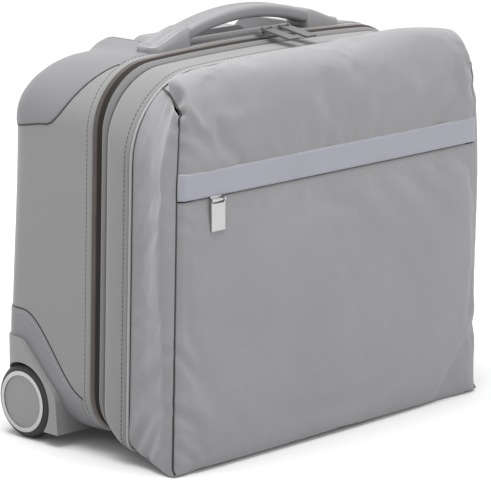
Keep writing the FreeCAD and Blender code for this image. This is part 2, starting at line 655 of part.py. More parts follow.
# ---------------------------------------------------------------- carry handle
def make_carry_handle():
    """An arched moulded grip between two end shoes on the top panel."""
    span = S.carry_span
    rise = S.carry_rise
    radius = (span * span + rise * rise) / (rise * 2)
    centre_z = carry_top - radius
    front_y = back(S.carry_back - S.carry_width / 2)
    rear_y = front_y + S.carry_width
    outer = rod("carry_arch_outer", "Y", (as_size(0), centre_z), radius, front_y, rear_y)
    inner = rod("carry_arch_inner", "Y", (as_size(0), centre_z), radius - S.carry_thickness,
                front_y - 1, rear_y + 1)
    reach = box("carry_reach", (-span, front_y, S.shell_top + S.panel_thickness),
                (span, rear_y, carry_top + 1))
    arch = common("carry_arch", cut("carry_arch_cut", outer, inner), reach)
    groove_half = S.carry_width / 8
    groove = cut("carry_groove",
                 rod("carry_groove_outer", "Y", (as_size(0), centre_z), radius + 1,
                     back(S.carry_back) - groove_half, back(S.carry_back) + groove_half),
                 rod("carry_groove_inner", "Y", (as_size(0), centre_z), radius - 1,
                     back(S.carry_back) - groove_half * 2, back(S.carry_back) + groove_half * 2))
    node("carry_handle_grip", cut("carry_grip_cut", arch, groove))
    deck = S.shell_top + S.panel_thickness
    end_top = carry_top - rise
    screws = []
    blocks = {}
    for side, sign in SIDES:
        tip = span + S.shoe_length
        corners = [(span, deck), (tip, deck), (tip, deck + S.shoe_tip, 2),
                   (span + S.shoe_length * 0.4, end_top - S.shoe_tip / 2, 12), (span, end_top)]
        if sign < 0:
            corners = mirrored_corners(corners)
        blocks[side] = prism("shoe_block_" + side, "XZ", corners, front_y, rear_y)
        for index in range(2):
            place = (span + 10 + index * 20) * sign
            screws.append(rod("shoe_screw_%s_%d" % (side, index), "Z", (place, back(S.carry_back)),
                              S.screw_radius, S.shell_top - S.shell_wall, deck + 3))
            screws.append(rod("shoe_screw_head_%s_%d" % (side, index), "Z", (place, back(S.carry_back)),
                              S.screw_head_radius, S.shell_top - S.shell_wall - S.screw_head_height,
                              S.shell_top - S.shell_wall))
    for side, sign in SIDES:
        node("carry_handle_shoe_" + side, cut("shoe_cut_" + side, blocks[side], *screws))
    node("shoe_screws", cut("shoe_screws_cut", fuse("shoe_screws_fuse", *screws), NODES["zip_chain_shell"]))
    for label in ("rear_shell", "top_guard_panel"):
        node(label, cut(label + "_drilled", NODES[label], *screws))


# ---------------------------------------------------------------- lid and front pocket
def make_lid():
    """Lid ring with its half of the zip, the divider board, the piped seam and the front pocket."""
    ring_front = fore(S.lid_depth)
    ring = prism("ring_blank", "XZ", case_outline(as_size(0), S.lid_drop), ring_front, fore(S.ring_start))
    ring_space = prism("ring_space", "XZ", case_outline(S.lid_wall, S.lid_drop), ring_front - 1,
                       fore(S.ring_start) + 1)
    node("lid_ring", cut("ring_cut", ring, ring_space))

    tape_start = fore(S.coil_offset + S.coil_gap / 2)
    tape_front = fore(S.tape_width + S.coil_offset)
    tape_inset = S.shell_wall
    lid_inset = S.lid_wall
    thick = S.tape_thickness
    tape_outer = loft("lid_tape_outer", [(case_outline(tape_inset), tape_start),
                                         (case_outline(lid_inset, S.lid_drop), fore(S.ring_start)),
                                         (case_outline(lid_inset, S.lid_drop), tape_front)])
    tape_inner = loft("lid_tape_inner", [(case_outline(tape_inset + thick), tape_start),
                                         (case_outline(lid_inset + thick, S.lid_drop), fore(S.ring_start)),
                                         (case_outline(lid_inset + thick, S.lid_drop), tape_front)])
    strip_space = box("lid_strip_space", (-S.hinge_strip_width / 2, fore(S.lid_depth), 0),
                      (S.hinge_strip_width / 2, back(S.tape_width), S.bottom_round))
    node("zip_chain_lid", cut("zip_chain_lid_cut", tape_outer, tape_inner, strip_space))

    node("lid_board", prism("lid_board_pad", "XZ", case_outline(S.lid_wall, S.lid_drop),
                            ring_front, ring_front + S.board_thickness))
    piping = prism("piping_blank", "XZ", case_outline(-S.piping_proud, S.lid_drop),
                   ring_front - S.piping_width, ring_front)
    piping_space = prism("piping_space", "XZ", case_outline(S.lid_wall, S.lid_drop),
                         ring_front - S.piping_width - 1, ring_front + 1)
    node("lid_piping", cut("piping_cut", piping, piping_space))

    outer = pocket_block("pocket_outer", as_size(0), as_size(0))
    inner = pocket_block("pocket_inner", S.pocket_wall, as_size(0))
    ground = box("ground_space", (-S.shell_width, fore(pocket_reach * 2), -S.shell_bottom),
                 (S.shell_width, back(S.shell_depth), as_size(0)))
    wall = cut("pocket_wall_cut", outer, inner, ground)
    seam_y = ring_front - S.piping_width
    front_y = fore(pocket_reach)
    ridge_y = fore(pocket_ridge)
    base_top = S.pocket_wall - S.foot_trim
    base_zone = prism("base_zone", "YZ", [
        (front_y - 1, -S.pocket_wall), (seam_y + 1, -S.pocket_wall),
        (seam_y + 1, S.shell_bottom + S.pocket_wall), (seam_y, S.shell_bottom + S.pocket_wall),
        (ridge_y, base_top), (front_y - 1, base_top)], -S.shell_width, S.shell_width)
    node("pocket_base", common("pocket_base_common", wall, base_zone))
    panel_half = pocket_front_width / 2 - S.gusset_lap
    panel_zone = box("panel_zone", (-panel_half, front_y - 1, 0), (panel_half, seam_y, S.shell_top * 2))
    upright_wall = cut("pocket_upright_wall", wall, base_zone)
    side_walls = cut("pocket_side_walls", upright_wall, panel_zone)
    for side, sign in SIDES:
        half_space = sided("gusset_zone_" + side, sign, (as_size(0), front_y - 1, as_size(0)),
                           (S.shell_width, seam_y, S.shell_top * 2))
        node("pocket_gusset_" + side, common("gusset_common_" + side, side_walls, half_space))
    panels = common("pocket_panels", upright_wall, panel_zone)
    slit_top = S.band_bottom
    slit_bottom = slit_top - S.slit_height
    lower_zone = box("lower_panel_zone", (-S.shell_width, front_y - 1, 0),
                     (S.shell_width, seam_y, slit_bottom))
    upper_zone = box("upper_panel_zone", (-S.shell_width, front_y - 1, slit_top),
                     (S.shell_width, seam_y, S.shell_top * 2))
    node("front_panel_lower", common("lower_panel_common", panels, lower_zone))
    node("front_panel_upper", common("upper_panel_common", panels, upper_zone))
    inside_y = front_y + S.pocket_wall
    chain_half = panel_half - S.gusset_lap
    node("pocket_zip_chain", box("pocket_chain_block",
                                 (-chain_half, inside_y, slit_bottom - S.tape_width / 2),
                                 (chain_half, inside_y + S.tape_thickness, slit_top + S.tape_width / 2)))
    band = prism("band_pad", "XZ", [
        (-panel_half, S.band_bottom), (panel_half, S.band_bottom),
        (panel_half - S.band_taper, S.band_bottom + S.band_height),
        (S.band_taper - panel_half, S.band_bottom + S.band_height)],
        front_y - S.band_thickness, front_y)
    node("pocket_band", band)


# ---------------------------------------------------------------- zip sliders and pulls
EYE_SHARE = 1.2    # a pull's eye radius as a share of its plate's thickness


def pull_plate(name, centre_x, hinge_y, hinge_z, length, width, turn):
    """A flat zip pull with an eye at its hinge, hanging in the direction of `turn` about X."""
    thick = S.pull_thickness
    eye = thick * EYE_SHARE
    plate = doc.addObject("Part::Box", name + "_plate")
    hole = doc.addObject("Part::Cylinder", name + "_eye_hole")
    barrel = doc.addObject("Part::Cylinder", name + "_eye_barrel")
    bind(plate, "Length", width)
    bind(plate, "Width", length - S.pin_radius)
    bind(plate, "Height", thick)
    plate.Placement = FreeCAD.Placement(FreeCAD.Vector(), FreeCAD.Rotation())
    bind(plate, "Placement.Base.x", centre_x - width / 2)
    bind(plate, "Placement.Base.y", -length)
    bind(plate, "Placement.Base.z", -thick / 2)
    for cylinder, radius in ((barrel, eye), (hole, S.pin_radius + S.pin_clearance)):
        cylinder.Placement = FreeCAD.Placement(FreeCAD.Vector(), AXIS_TURNS["X"])
        bind(cylinder, "Radius", radius)
        bind(cylinder, "Height", width)
        bind(cylinder, "Placement.Base.x", centre_x - width / 2)
    gap = doc.addObject("Part::Box", name + "_eye_gap")
    gap_half = width / 2 - thick
    bind(gap, "Length", gap_half * 2)
    gap_reach = eye * S.eye_gap_share
    bind(gap, "Width", gap_reach * 2)
    bind(gap, "Height", gap_reach * 3)
    gap.Placement = FreeCAD.Placement(FreeCAD.Vector(), FreeCAD.Rotation())
    bind(gap, "Placement.Base.x", centre_x - gap_half)
    bind(gap, "Placement.Base.y", 0 - gap_reach)
    bind(gap, "Placement.Base.z", 0 - gap_reach * 1.5)
    pull = cut(name, fuse(name + "_fuse", plate, barrel), hole, gap)
    tilt = FreeCAD.Rotation(FreeCAD.Vector(1, 0, 0), turn.value)
    pull.Placement = FreeCAD.Placement(FreeCAD.Vector(), tilt)
    bind(pull, "Placement.Base.y", hinge_y)
    bind(pull, "Placement.Base.z", hinge_z)
    return pull


def make_zip_hardware():
    """Two sliders with flat pulls on the main zip, and one on the pocket zip."""
    coil_top = S.shell_top - S.shell_wall
    deck = S.shell_top + S.panel_thickness + S.coil_gap
    crown_top = deck + S.slider_crown
    eye_radius = S.pull_thickness * EYE_SHARE
    groove_half = (S.ring_start - S.coil_gap * 2) / 2
    groove_y = fore(S.ring_start / 2)
    hinge_y = groove_y - S.slider_overhang
    hinge_z = crown_top + eye_radius + S.coil_gap
    thick = S.pull_thickness
    places = {"left": S.slider_left, "right": S.slider_right}
    for side in ("left", "right"):
        centre_x = places[side]
        half = S.slider_length / 2
        foot = box("slider_foot_" + side, (centre_x - half, groove_y - groove_half, coil_top + S.coil_gap),
                   (centre_x + half, groove_y + groove_half, deck))
        crown = box("slider_crown_" + side,
                    (centre_x - half, groove_y - S.slider_overhang, deck),
                    (centre_x + half, groove_y + S.slider_overhang, crown_top))
        rounded_crown = rounded("slider_crown_rounded_" + side, crown, 1.2, lies_at("Z", crown_top))
        bridge_half = S.pull_width / 2 - thick - S.coil_gap
        bridge = box("slider_bridge_" + side, (centre_x - bridge_half, hinge_y - S.pin_radius, deck),
                     (centre_x + bridge_half, hinge_y + thick, hinge_z + S.pin_radius))
        pin = rod("slider_pin_" + side, "X", (hinge_y, hinge_z), S.pin_radius,
                  centre_x - S.pull_width / 2, centre_x + S.pull_width / 2)
        node("main_slider_" + side, fuse("main_slider_fuse_" + side, foot, rounded_crown, bridge, pin))
        node("main_pull_" + side, pull_plate("main_pull_cut_" + side, centre_x, hinge_y, hinge_z,
                                             S.pull_length, S.pull_width, S.pull_tilt))

    front_y = fore(pocket_reach)
    slit_top = S.band_bottom
    slit_bottom = slit_top - S.slit_height
    gap = S.coil_gap
    centre_x = -S.pocket_pull_place
    half = S.slider_length / 2
    face_y = front_y - S.band_thickness
    body_block = box("pocket_slider_block", (centre_x - half, face_y, slit_bottom + gap),
                     (centre_x + half, front_y + S.pocket_wall - gap, slit_top - gap))
    hinge_y = fore(pocket_reach + S.puller_proud) + eye_radius
    hinge_z = slit_top - S.slit_height / 2
    bridge_half = S.pocket_pull_width / 2 - S.pull_thickness - gap
    bridge = box("pocket_slider_bridge",
                 (centre_x - bridge_half, hinge_y - S.pin_radius, hinge_z - S.pin_radius),
                 (centre_x + bridge_half, face_y, hinge_z + S.pin_radius))
    pin = rod("pocket_slider_pin", "X", (hinge_y, hinge_z), S.pin_radius,
              centre_x - S.pocket_pull_width / 2, centre_x + S.pocket_pull_width / 2)
    node("pocket_slider", fuse("pocket_slider_fuse", body_block, bridge, pin))
    node("pocket_pull", pull_plate("pocket_pull_cut", centre_x, hinge_y, hinge_z,
                                   S.pocket_pull_length, S.pocket_pull_width, as_size(90)))


# ---------------------------------------------------------------- build, check and write
def check_document():
    """Stop if any object failed or any sub-part is empty or invalid."""
    for thing in doc.Objects:
        if any(state in ("Invalid", "Error") for state in thing.State):
            raise RuntimeError("%s failed: %s" % (thing.Name, thing.State))
    for label, solid in NODES.items():
        shape = solid.Shape
        if shape.isNull() or not shape.isValid() or not shape.Solids:
            raise RuntimeError("%s has no valid solid" % label)


def main():
    """Build every sub-part and write one file for each."""
    skin, hollow = make_shell()
    make_inner_sleeve(hollow)
    make_wheels()
    make_trolley_handle(skin, hollow)
    make_carry_handle()
    make_lid()
    make_zip_hardware()
    doc.recompute()
    check_document()
    os.makedirs("parts", exist_ok=True)
    for label, solid in NODES.items():
        solid.Shape.exportStep("parts/%s.step" % label)
        print("%-26s %3d solid(s) %12.1f mm3" % (label, len(solid.Shape.Solids), solid.Shape.Volume))
    print(len(NODES), "nodes")


main()
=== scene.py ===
"""The looks of a rolling laptop case: fabric, zips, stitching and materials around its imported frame.

Everything is in metres, in the frame's own axes: X across, +Y towards the back, +Z up, on a floor at z = 0.
A fabric piece starts as a grid of points, so that its weave, seams and folds are placed by real distances.
"""
import math

import bpy
import numpy as np
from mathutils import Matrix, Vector


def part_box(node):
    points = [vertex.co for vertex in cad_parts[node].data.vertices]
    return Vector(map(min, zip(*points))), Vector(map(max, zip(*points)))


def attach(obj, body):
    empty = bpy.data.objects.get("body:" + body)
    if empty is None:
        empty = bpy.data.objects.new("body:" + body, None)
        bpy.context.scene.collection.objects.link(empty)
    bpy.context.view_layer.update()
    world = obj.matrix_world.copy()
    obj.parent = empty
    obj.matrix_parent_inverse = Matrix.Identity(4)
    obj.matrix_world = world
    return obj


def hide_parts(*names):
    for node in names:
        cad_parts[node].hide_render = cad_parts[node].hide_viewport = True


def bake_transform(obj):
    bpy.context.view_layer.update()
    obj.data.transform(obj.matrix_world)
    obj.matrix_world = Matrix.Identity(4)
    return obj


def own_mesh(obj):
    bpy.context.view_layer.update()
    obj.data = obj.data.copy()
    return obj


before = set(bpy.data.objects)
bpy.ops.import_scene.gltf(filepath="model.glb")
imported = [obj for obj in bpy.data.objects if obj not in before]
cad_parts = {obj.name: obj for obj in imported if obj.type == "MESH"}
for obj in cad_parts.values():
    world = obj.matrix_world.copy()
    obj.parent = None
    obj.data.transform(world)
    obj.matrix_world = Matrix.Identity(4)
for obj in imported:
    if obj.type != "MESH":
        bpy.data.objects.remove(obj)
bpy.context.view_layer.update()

MM = 0.001

# ---- places taken from the frame

SHELL_LOW, SHELL_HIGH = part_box("rear_shell")
RING_LOW, RING_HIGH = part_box("lid_ring")
BAY_LOW, BAY_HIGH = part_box("handle_bay_tray")
LINING_LOW, LINING_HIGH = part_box("compartment_lining")
SLEEVE_LOW, SLEEVE_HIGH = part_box("laptop_sleeve")
STRAP_LOW, STRAP_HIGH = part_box("sleeve_strap")
LOWER_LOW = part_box("front_panel_lower")[0]
UPPER_LOW, UPPER_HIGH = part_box("front_panel_upper")
BAND_LOW, BAND_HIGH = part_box("pocket_band")
HOUSING_LOW, HOUSING_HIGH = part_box("wheel_housing_right")
GRIP_LOW, GRIP_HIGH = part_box("carry_handle_grip")
SHOE_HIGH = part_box("carry_handle_shoe_right")[1]
HINGE_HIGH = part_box("lid_hinge_strip")[1]
BOARD_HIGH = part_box("lid_board")[1]
BOARD_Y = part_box("back_board")[0].y
SPRING_LOW, SPRING_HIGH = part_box("button_spring")

ZIP_Y = SHELL_LOW.y  # front edge of the rear shell
BACK_Y = SHELL_HIGH.y  # back face of the rear shell
SEAM_Y = RING_LOW.y - 2 * MM  # where the pocket is sewn to the lid ring
FRONT_Y = LOWER_LOW.y  # front face of the pocket
SHELL_TOP = SHELL_HIGH.z
SHELL_BOTTOM = SHELL_LOW.z
HALF_LOW = SHELL_HIGH.x  # half the width at the bottom
HALF_HIGH = HALF_LOW - 10 * MM  # half the width at the top

ROUND_HIGH = 62 * MM  # corners of the outline
ROUND_LOW = 46 * MM
REAR_ROUND = 28 * MM  # edge between the outline and the back face
CORNER_ROUND = 36 * MM  # the same edge at the two upper corners
SEAM_ROUND = 80 * MM  # top corners of the outline at the pocket's seam
SEAM_TOP = RING_HIGH.z - 1.5 * MM
SEAM_INSET = 3 * MM
SEAM_ROUND_LOW = 16 * MM  # its bottom corners
SEAM_BOTTOM = SHELL_BOTTOM - 3 * MM
TOP_CROWN = 4 * MM  # how far the top falls from its middle to its shoulders
CROWN_REACH = 150 * MM
CROWN_FOOT = 250 * MM  # below this height the crown has no effect


# ---- points and paths

def smooth(t):
    """0 before 0, 1 after 1, and a smooth rise between."""
    t = np.clip(t, 0.0, 1.0)
    return t * t * (3 - 2 * t)


def unit(v):
    return v / np.maximum(np.linalg.norm(v, axis=-1, keepdims=True), 1e-12)


def lengths(path):
    """Distance along a path at each of its points."""
    return np.concatenate([[0.0], np.cumsum(np.linalg.norm(np.diff(path, axis=0), axis=1))])


def at_distances(path, values, where):
    """Values given at a path's points, read at distances along it."""
    along = lengths(path)
    return np.stack([np.interp(where, along, values[:, k]) for k in range(values.shape[1])], axis=1)


def resample(path, count, values=None):
    """A path with evenly spaced points, or the values at those places."""
    path = np.asarray(path, float)
    where = np.linspace(0.0, lengths(path)[-1], count)
    return at_distances(path, path if values is None else np.asarray(values, float), where)


def lip_spacing(length, count, lip):
    """Distances across a strip, with two short cells at each end for a rounded lip."""
    inner = np.linspace(lip * 2.2, length - lip * 2.2, count - 4)
    return np.concatenate([[0.0, lip], inner, [length - lip, length]])


def grid_normals(points):
    """Unit normals of a grid of points: columns cross rows."""
    return unit(np.cross(np.gradient(points, axis=1), np.gradient(points, axis=0)))


def straight(a, b, count):
    """count points from a towards b, without b."""
    t = np.linspace(0, 1, count, endpoint=False)[:, None]
    return np.array(a, float) * (1 - t) + np.array(b, float) * t


def arc(centre, radius, start, end, count):
    """count points on an arc, in degrees, without its end."""
    a = np.radians(np.linspace(start, end, count, endpoint=False))
    return np.stack([centre[0] + radius * np.cos(a), centre[1] + radius * np.sin(a)], axis=1)


def quilt(flat):
    """Height of padded diamonds over X and Z points."""
    x, z = math.pi * flat.T / (52 * MM)
    return 1.6 * MM * np.abs(np.sin(x + z) * np.sin(x - z)) ** 0.5


def bezier(a, b, c, d, t):
    return a * (1 - t) ** 3 + 3 * b * t * (1 - t) ** 2 + 3 * c * t * t * (1 - t) + d * t ** 3


# ---- mesh pieces

def link(name, verts, faces, *materials):
    """A new smooth mesh object from points and faces, with its materials by name."""
    mesh = bpy.data.meshes.new(name)
    verts = [tuple(v) for v in np.asarray(verts, float)]
    mesh.from_pydata(verts, [], [tuple(int(i) for i in f) for f in faces])
    piece = bpy.data.objects.new(name, mesh)
    bpy.context.scene.collection.objects.link(piece)
    for material in materials:
        mesh.materials.append(MATERIALS[material])
    mesh.shade_smooth()
    return piece


def ring_faces(rows, cols):
    """Quads of a grid whose columns close on themselves."""
    return [(r * cols + c, r * cols + (c + 1) % cols, (r + 1) * cols + (c + 1) % cols, (r + 1) * cols + c)
            for r in range(rows - 1) for c in range(cols)]


def spread(points, axis):
    """Mean distance of each row or column of a grid from its first, in metres."""
    steps = np.linalg.norm(np.diff(points, axis=axis), axis=2)
    return np.concatenate([[0.0], np.cumsum(steps.mean(axis=1 - axis))])


def grid(name, points, *materials, closed=False, flip=False, keep=None, cap=False):
    """A sheet from rows of points, with its weave measured along rows and columns.

    keep(centre) says which faces stay, and cap closes the last row with one flat face.
    """
    points = np.asarray(points, float)
    rows, cols = points.shape[:2]
    looped = np.concatenate([points, points[:, :1]], axis=1) if closed else points
    across, down = spread(looped, 1), spread(points, 0)
    verts = points.reshape(-1, 3)
    faces, corners = [], []
    for r in range(rows - 1):
        for c in range(looped.shape[1] - 1):
            cells = [(r, c), (r, c + 1), (r + 1, c + 1), (r + 1, c)]
            face = [i * cols + j % cols for i, j in cells]
            if keep is not None and not keep(verts[face].mean(0)):
                continue
            faces.append(face[::-1] if flip else face)
            corners.append([(across[j], down[i]) for i, j in (cells[::-1] if flip else cells)])
    if cap:
        last = [(rows - 1) * cols + c for c in range(cols)]
        faces.append(last[::-1] if flip else last)
        corners.append([(verts[i][0], verts[i][2]) for i in faces[-1]])
    used = sorted({i for f in faces for i in f})
    number = {old: new for new, old in enumerate(used)}
    piece = link(name, verts[used], [[number[i] for i in f] for f in faces], *materials)
    weave = piece.data.uv_layers.new(name="weave")
    weave.uv.foreach_set("vector", np.array([xy for face in corners for xy in face], np.float32).ravel())
    return piece


def thicken(piece, thickness):
    """Gives a sheet its thickness behind its face; the back shows the sheet's last material."""
    solid = piece.modifiers.new("thickness", "SOLIDIFY")
    solid.thickness = thickness
    solid.offset = -1.0
    solid.material_offset = len(piece.data.materials) - 1
    return piece


def refined(piece):
    """Subdivides a piece once, smoothly."""
    sub = piece.modifiers.new("refine", "SUBSURF")
    sub.levels = sub.render_levels = 1
    return piece


def place(piece, body, slot, *nodes):
    """Puts a piece on its body and hides the CAD nodes that it stands for; slot is not used."""
    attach(piece, body)
    if nodes:
        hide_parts(*nodes)
    return piece


def tube_parts(path, radius, normals, sides=8, flat=1.0):
    """Points and faces of a round or flattened tube along an open path, with closed ends."""
    tangents = unit(np.gradient(path, axis=0))
    up = unit(normals - (normals * tangents).sum(1, keepdims=True) * tangents)
    side = np.cross(tangents, up)
    angles = np.linspace(0, 2 * math.pi, sides, endpoint=False)
    rings = np.stack([path + radius * (math.cos(a) * side + flat * math.sin(a) * up) for a in angles], axis=1)
    faces = [f[::-1] for f in ring_faces(len(path), sides)]
    count = len(path) * sides
    return rings.reshape(-1, 3), faces + [tuple(range(sides)), tuple(range(count - sides, count))[::-1]]


BAR_STATIONS = ((-1.0, 0.25), (-0.72, 0.85), (0.0, 1.0), (0.72, 0.85), (1.0, 0.25))
BAR_SIDES = 6


def bar_parts(path, normals, pitch, along, across, height, start=0.0):
    """Points and faces of small rounded bars along a path: thread stitches, or the teeth of a zip.

    along, across and height are each bar's full sizes; the longer of along and across is its axis.
    """
    where = np.arange(start, lengths(path)[-1], pitch)
    places = at_distances(path, path, where)
    tangents = unit(at_distances(path, np.gradient(path, axis=0), where))
    ups = at_distances(path, normals, where)
    ups = unit(ups - (ups * tangents).sum(1, keepdims=True) * tangents)
    sides = np.cross(tangents, ups)
    long_axis, short_axis = (tangents, sides) if along >= across else (sides, tangents)
    long_half, short_half = max(along, across) / 2, min(along, across) / 2
    block = []
    for shift, size in BAR_STATIONS:
        for a in np.linspace(0, 2 * math.pi, BAR_SIDES, endpoint=False):
            block.append(places + long_axis * shift * long_half + short_axis * math.cos(a) * size * short_half
                         + ups * math.sin(a) * size * height / 2)
    total = BAR_SIDES * len(BAR_STATIONS)
    cell = [f[::-1] for f in ring_faces(len(BAR_STATIONS), BAR_SIDES)]
    cell += [tuple(range(BAR_SIDES)), tuple(range(total - BAR_SIDES, total))[::-1]]
    faces = [tuple(i + k * total for i in f) for k in range(len(places)) for f in cell]
    return np.stack(block, axis=1).reshape(-1, 3), faces


def gathered(name, parts, material, body, slot, *nodes):
    """One piece from several lots of points and faces, placed on its body."""
    verts, faces, offset = [], [], 0
    for points, lot in parts:
        verts.append(points)
        faces.extend(tuple(i + offset for i in f) for f in lot)
        offset += len(points)
    return place(link(name, np.concatenate(verts), faces, material), body, slot, *nodes)


STITCH = dict(pitch=4.4 * MM, along=3.1 * MM, across=0.8 * MM, height=0.7 * MM)
HEM_POINTS = 420  # a hem's line is read at this many points
THREAD_RISE = 0.15 * MM


def hem_stitches(name, hem, out, body):
    """A row of dark stitches all round a closed hem."""
    out = resample(hem, HEM_POINTS, out)
    row = bar_parts(resample(hem, HEM_POINTS) + out * THREAD_RISE, out, **STITCH)
    gathered(name, [row], "hem_thread", body, "shell_fabric")


# ---- materials

class Look:
    """A material: its shader, and the nodes that feed it."""

    def __init__(self, name, colour, roughness, metallic=0.0, sheen=0.0, specular=0.5):
        self.material = bpy.data.materials.new(name)
        self.material.use_nodes = True
        self.material.diffuse_color = (*colour, 1.0)
        self.nodes, self.links = self.material.node_tree.nodes, self.material.node_tree.links
        self.body = self.nodes["Principled BSDF"]
        for socket, value in (("Base Color", (*colour, 1.0)), ("Roughness", roughness),
                              ("Metallic", metallic), ("Sheen Weight", sheen), ("Sheen Roughness", 0.5),
                              ("Specular IOR Level", specular)):
            self.body.inputs[socket].default_value = value

    def node(self, kind, sockets, operation=None):
        """A new node; sockets gives each input's value, or the output that feeds it."""
        new = self.nodes.new("ShaderNode" + kind)
        if operation is not None:
            new.operation = operation
        for key, value in sockets.items():
            if isinstance(value, bpy.types.NodeSocket):
                self.links.new(value, new.inputs[key])
            else:
                new.inputs[key].default_value = value
        return new

    def place(self):
        """Places on the object, in metres."""
        return self.nodes.new("ShaderNodeTexCoord").outputs["Object"]

    def wave(self, where, direction, period):
        """Fine parallel ridges: the sine of the distance along a direction, from 0 to 1."""
        length = math.sqrt(sum(c * c for c in direction))
        step = [2 * math.pi / period * c / length for c in direction]
        along = self.node("VectorMath", {0: where, 1: step}, "DOT_PRODUCT").outputs["Value"]
        sine = self.node("Math", {0: along}, "SINE").outputs[0]
        return self.node("Math", {0: sine, 1: 0.5, 2: 0.5}, "MULTIPLY_ADD").outputs[0]

    def noise(self, where, scale, detail=3.0, stretch=None):
        """Noise from 0 to 1 at a number of features per metre."""
        if stretch is not None:
            where = self.node("Mapping", {"Vector": where, "Scale": stretch}).outputs["Vector"]
        return self.node("TexNoise", {"Vector": where, "Scale": scale, "Detail": detail}).outputs["Fac"]

    def mixed(self, a, b, amount):
        return self.node("Mix", {"Factor": amount, "A": a, "B": b}).outputs["Result"]

    def colour(self, value, base, contrast, low=0.25, high=0.75):
        """Colours the surface by a value, from darker to lighter than the base colour."""
        ramp = self.node("ValToRGB", {"Fac": value})
        factors = (1 - contrast, 1 + contrast)
        for element, position, factor in zip(ramp.color_ramp.elements, (low, high), factors):
            element.position = position
            element.color = (*(c * factor for c in base), 1.0)
        self.links.new(ramp.outputs["Color"], self.body.inputs["Base Color"])

    def rough(self, value, low, high):
        """Spreads a value over a range of roughness."""
        span = self.node("MapRange", {"Value": value, "To Min": low, "To Max": high})
        self.links.new(span.outputs["Result"], self.body.inputs["Roughness"])

    def bump(self, value, distance):
        """Relief of a real height, in metres."""
        relief = self.node("Bump", {"Height": value, "Strength": 1.0, "Distance": distance})
        self.links.new(relief.outputs["Normal"], self.body.inputs["Normal"])


def grey(value, blue=0.0, warm=0.0):
    """A linear grey with a little blue or warmth."""
    return (value * (1 + warm), value, value * (1 + blue))


def woven(name, base, period, contrast=0.12, sheen=0.25, relief=0.12 * MM):
    """Twill nylon, measured along its own sheet: diagonal ridges, a cross thread and slow shade changes."""
    look = Look(name, base, 0.82, sheen=sheen, specular=0.35)
    sheet = look.nodes.new("ShaderNodeUVMap")
    sheet.uv_map = "weave"
    where = look.place()
    ridge = look.wave(sheet.outputs["UV"], (1, 1, 0), period)
    thread = look.wave(sheet.outputs["UV"], (1, -0.4, 0), period * 0.7)
    weave = look.mixed(ridge, thread, 0.35)
    weave = look.mixed(weave, look.noise(where, 1300.0, 2.0), 0.3)
    drift = look.noise(where, 9.0)
    look.colour(look.mixed(weave, drift, 0.25), base, contrast)
    look.rough(drift, 0.76, 0.88)
    look.bump(weave, relief)
    return look.material


def coated(name, base, roughness=0.5):
    """Smooth coated fabric: a fine pebble, with broad soft shade changes."""
    look = Look(name, base, roughness, sheen=0.08, specular=0.45)
    where = look.place()
    pebble = look.node("TexVoronoi", {"Scale": 900.0, "Vector": where})
    drift = look.noise(where, 14.0, 4.0)
    look.colour(drift, base, 0.05)
    look.rough(drift, roughness - 0.05, roughness + 0.07)
    look.bump(pebble.outputs["Distance"], 0.05 * MM)
    return look.material


def moulded(name, base, roughness, contrast=0.05, grain=0.03 * MM):
    """Moulded plastic or rubber with a spark-eroded grain."""
    look = Look(name, base, roughness)
    where = look.place()
    broad = look.noise(where, 30.0)
    look.colour(broad, base, contrast)
    look.rough(broad, roughness - 0.06, roughness + 0.06)
    look.bump(look.noise(where, 2200.0, 2.0), grain)
    return look.material


def metal(name, base, roughness, stretch=(1, 1, 0.02)):
    """Metal with fine lines: drawn upwards, or even all ways where stretch is."""
    look = Look(name, base, roughness, metallic=1.0)
    lines = look.noise(look.place(), 1500.0, 2.0, stretch)
    look.colour(lines, base, 0.06)
    look.rough(lines, roughness - 0.06, roughness + 0.08)
    look.bump(lines, 0.01 * MM)
    return look.material


def ribbed(name, base, period):
    """Thread, webbing or zip tape: fine ribs along each strip."""
    look = Look(name, base, 0.85, sheen=0.2, specular=0.3)
    where = look.place()
    ribs = look.wave(where, (1, 0, 1), period)
    picks = look.wave(where, (1, 6, -1), period * 0.8)
    weave = look.mixed(ribs, picks, 0.5)
    look.colour(weave, base, 0.18)
    look.bump(weave, 0.12 * MM)
    return look.material


